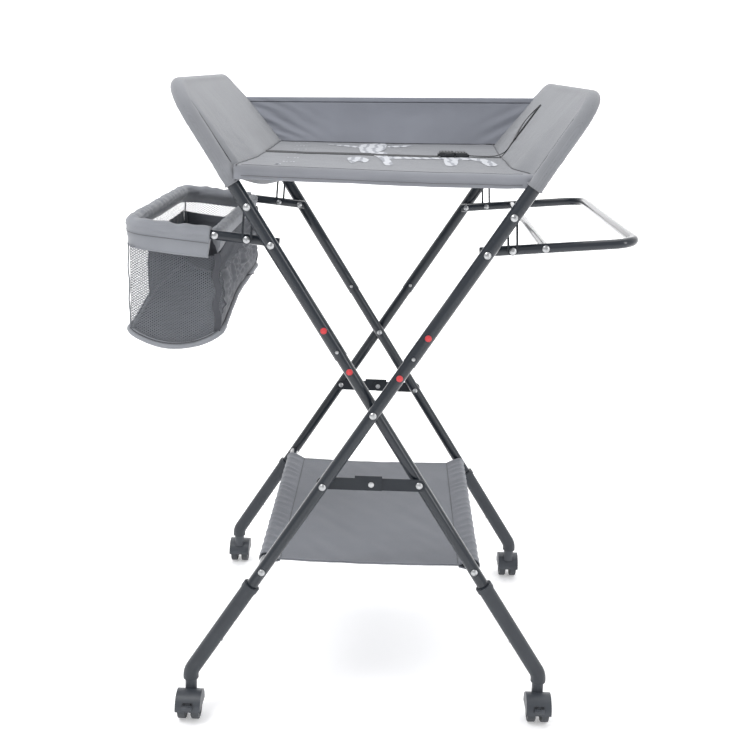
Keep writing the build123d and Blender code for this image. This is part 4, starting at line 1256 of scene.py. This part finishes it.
for label, x, y, width, tint in (
    ("front_inner", FLOOR_X + FLOOR_HALF_X - 0.004, -FLOOR_HALF_Y + 0.003, 0.0050, "dark"),
    ("front_outer", FLOOR_X - FLOOR_HALF_X + 0.003, -FLOOR_HALF_Y + 0.003, 0.0011, "thin"),
    ("rear_inner", FLOOR_X + FLOOR_HALF_X - 0.003, FLOOR_HALF_Y - 0.003, 0.0030, "dark"),
    ("rear_outer", FLOOR_X - FLOOR_HALF_X + 0.003, FLOOR_HALF_Y - 0.003, 0.0014, "thin"),
):
    line, ups = [], []
    for k in range(60):
        t = k / 59
        top = wall_top(x, y)
        z = top + 0.004 + (floor_z(x, y) - top - 0.004) * t
        sway = 0.0025 if tint == "dark" else 0.0008
        line.append((x + sway * math.sin(t * 17) * (1 - t * 0.4), y + sway * 0.6 * math.cos(t * 14), z))
        ups.append(Vector((0.3 * math.sin(t * 9), -1, 0)))
    piece, _ = webbing(f"basket_corner_{label}", line, ups, width * 2, 0.0014,
                       SEAM if tint == "dark" else NET_EDGE)
    on_basket(piece)
tab_line = [(-0.2440, 0.085, 0.668), (-0.2395, 0.083, 0.668), (-0.2350, 0.081, 0.6695),
            (-0.2305, 0.079, 0.6715)]
tab, _ = webbing("basket_tab", smooth_line(tab_line, 0.0015),
                 [Vector((0, 0, 1))] * len(smooth_line(tab_line, 0.0015)), 0.010, 0.0014, SEAM)
on_basket(tab)


# ---------------------------------------------------------------- small round metal and plastic parts
def lathe(name, centre, outward, profile, material, body):
    """Turned about a line along Y; profile is (radius, height outwards)."""
    x, y, z = centre
    verts, uv = [], []
    for radius, height in profile:
        for k in range(32):
            a = 2 * math.pi * k / 32
            verts.append((x + radius * math.cos(a), y + outward * height, z + radius * math.sin(a)))
            uv.append((radius * a, height))
    faces = grid_faces(len(profile), 32, wrap_cols=True, flip=outward > 0)
    last = (len(profile) - 1) * 32
    rim, tip = tuple(range(32)), tuple(range(last, last + 32))
    faces.append(tuple(reversed(rim)) if outward < 0 else rim)
    faces.append(tip if outward < 0 else tuple(reversed(tip)))
    obj = mesh_object(name, verts, faces, material, uv)
    rides(obj, body)
    return obj


BRACE_Z = PIVOT - 0.141 * C
RIVET = [(0.0046, 0.0), (0.0046, 0.0001), (0.0040, 0.0003), (0.0022, 0.00045), (0.0004, 0.0005)]
for label, y, outward, body in (
    ("front_outer", -0.2850, -1, "link_front_left"), ("front_inner", -0.2790, 1, "link_front_right"),
    ("rear_outer", 0.2850, 1, "link_rear_left"), ("rear_inner", 0.2790, -1, "link_rear_right"),
):
    lathe(f"brace_rivet_{label}", (0, y, BRACE_Z), outward, RIVET, ZINC, body)
for side, leg_y, frame_name, body in ((-1, LEG_A, "a", "inner_frame"), (1, LEG_B, "b", "outer_frame")):
    for end in (-1, 1):
        for label, along, tube in (("high", 0.148, 0.0105), ("low", 0.072, 0.0095)):
            collar = [(0.0050, tube - 0.0016), (0.0051, tube - 0.0002), (0.0047, tube + 0.0006),
                      (0.0040, tube + 0.0008), (0.0036, tube + 0.0003)]
            lathe(f"button_collar_{frame_name}_{'rear' if end > 0 else 'front'}_{label}",
                  (side * along * S, end * leg_y, PIVOT + along * C), end, collar, RED,
                  body)


# ---------------------------------------------------------------- studio and camera
def studio():
    world = bpy.data.worlds.new("studio")
    bpy.context.scene.world = world
    world.use_nodes = True
    nodes, links = world.node_tree.nodes, world.node_tree.links
    back = nodes["Background"]
    back.inputs["Strength"].default_value = 1.0
    tex = nodes.new("ShaderNodeTexCoord")
    split = nodes.new("ShaderNodeSeparateXYZ")
    links.new(tex.outputs["Generated"], split.inputs["Vector"])
    ramp = nodes.new("ShaderNodeValToRGB")
    elements = ramp.color_ramp.elements
    elements[0].position, elements[0].color = 0.0, (0.62, 0.62, 0.63, 1)
    elements[1].position, elements[1].color = 1.0, (1, 1, 1, 1)
    middle = elements.new(0.62)
    middle.color = (1, 1, 1, 1)
    low = elements.new(0.40)
    low.color = (0.70, 0.70, 0.71, 1)
    turn = nodes.new("ShaderNodeMapRange")
    turn.inputs["From Min"].default_value = -1.0
    turn.inputs["From Max"].default_value = 1.0
    links.new(split.outputs["Y"], turn.inputs["Value"])
    links.new(turn.outputs["Result"], ramp.inputs["Fac"])
    links.new(ramp.outputs["Color"], back.inputs["Color"])
    floor_mat, nt, nodes, links, shader = new_material("floor_paint")
    set_inputs(shader, Roughness=0.9, Base_Color=(0.93, 0.93, 0.935, 1),
               Emission_Color=(1, 1, 1, 1), Emission_Strength=0.30)
    rows = []
    for k in range(12):
        rows.append((-9 + 12.2 * k / 11, 0.0))
    for k in range(1, 17):
        a = math.pi / 2 * k / 16
        rows.append((3.2 + 2.5 * math.sin(a), 2.5 * (1 - math.cos(a))))
    rows.append((5.7, 9.0))
    verts = [(x, y, z) for y, z in rows for x in np.linspace(-11, 11, 12)]
    sweep = mesh_object("backdrop", verts, grid_faces(len(rows), 12), floor_mat)
    for name, place, aim, energy, width, height in (
        ("key", (-1.2, -1.2, 2.8), (0, 0, 0.6), 30, 0.7, 1.4),
        ("fill", (2.4, -1.6, 1.5), (0, 0, 0.5), 12, 0.5, 1.8),
        ("top", (0.3, 0.5, 3.2), (0, 0, 0.5), 20, 2.2, 2.2),
        ("wash", (0.0, 2.2, 3.4), (0, 4.6, 1.4), 110, 5.0, 1.2),
    ):
        light = bpy.data.lights.new(name, "AREA")
        light.shape = "RECTANGLE"
        light.size, light.size_y = width, height
        light.energy = energy
        lamp = bpy.data.objects.new(name, light)
        bpy.context.scene.collection.objects.link(lamp)
        lamp.location = place
        lamp.rotation_mode = "QUATERNION"
        lamp.rotation_quaternion = (Vector(aim) - Vector(place)).to_track_quat("-Z", "Y")
    bpy.context.scene.view_settings.view_transform = "Standard"


def camera():
    data = bpy.data.cameras.new("camera")
    cam = bpy.data.objects.new("camera", data)
    bpy.context.scene.collection.objects.link(cam)
    right = Vector((0.99935574, 0.02133044, 0.02886372))
    up = Vector((-0.03348672, 0.26481857, 0.96371664))
    back = -Vector((-0.01291285, 0.96406231, -0.26536224))
    turn = Matrix((right, up, back)).transposed()
    cam.matrix_world = Matrix.Translation((0.02352, -1.97177, 1.05187)) @ turn.to_4x4()
    data.sensor_width = 36.0
    data.lens = 36.0 * 1142.96 / 750.0
    data.clip_start, data.clip_end = 0.05, 60
    bpy.context.scene.camera = cam


studio()
camera()
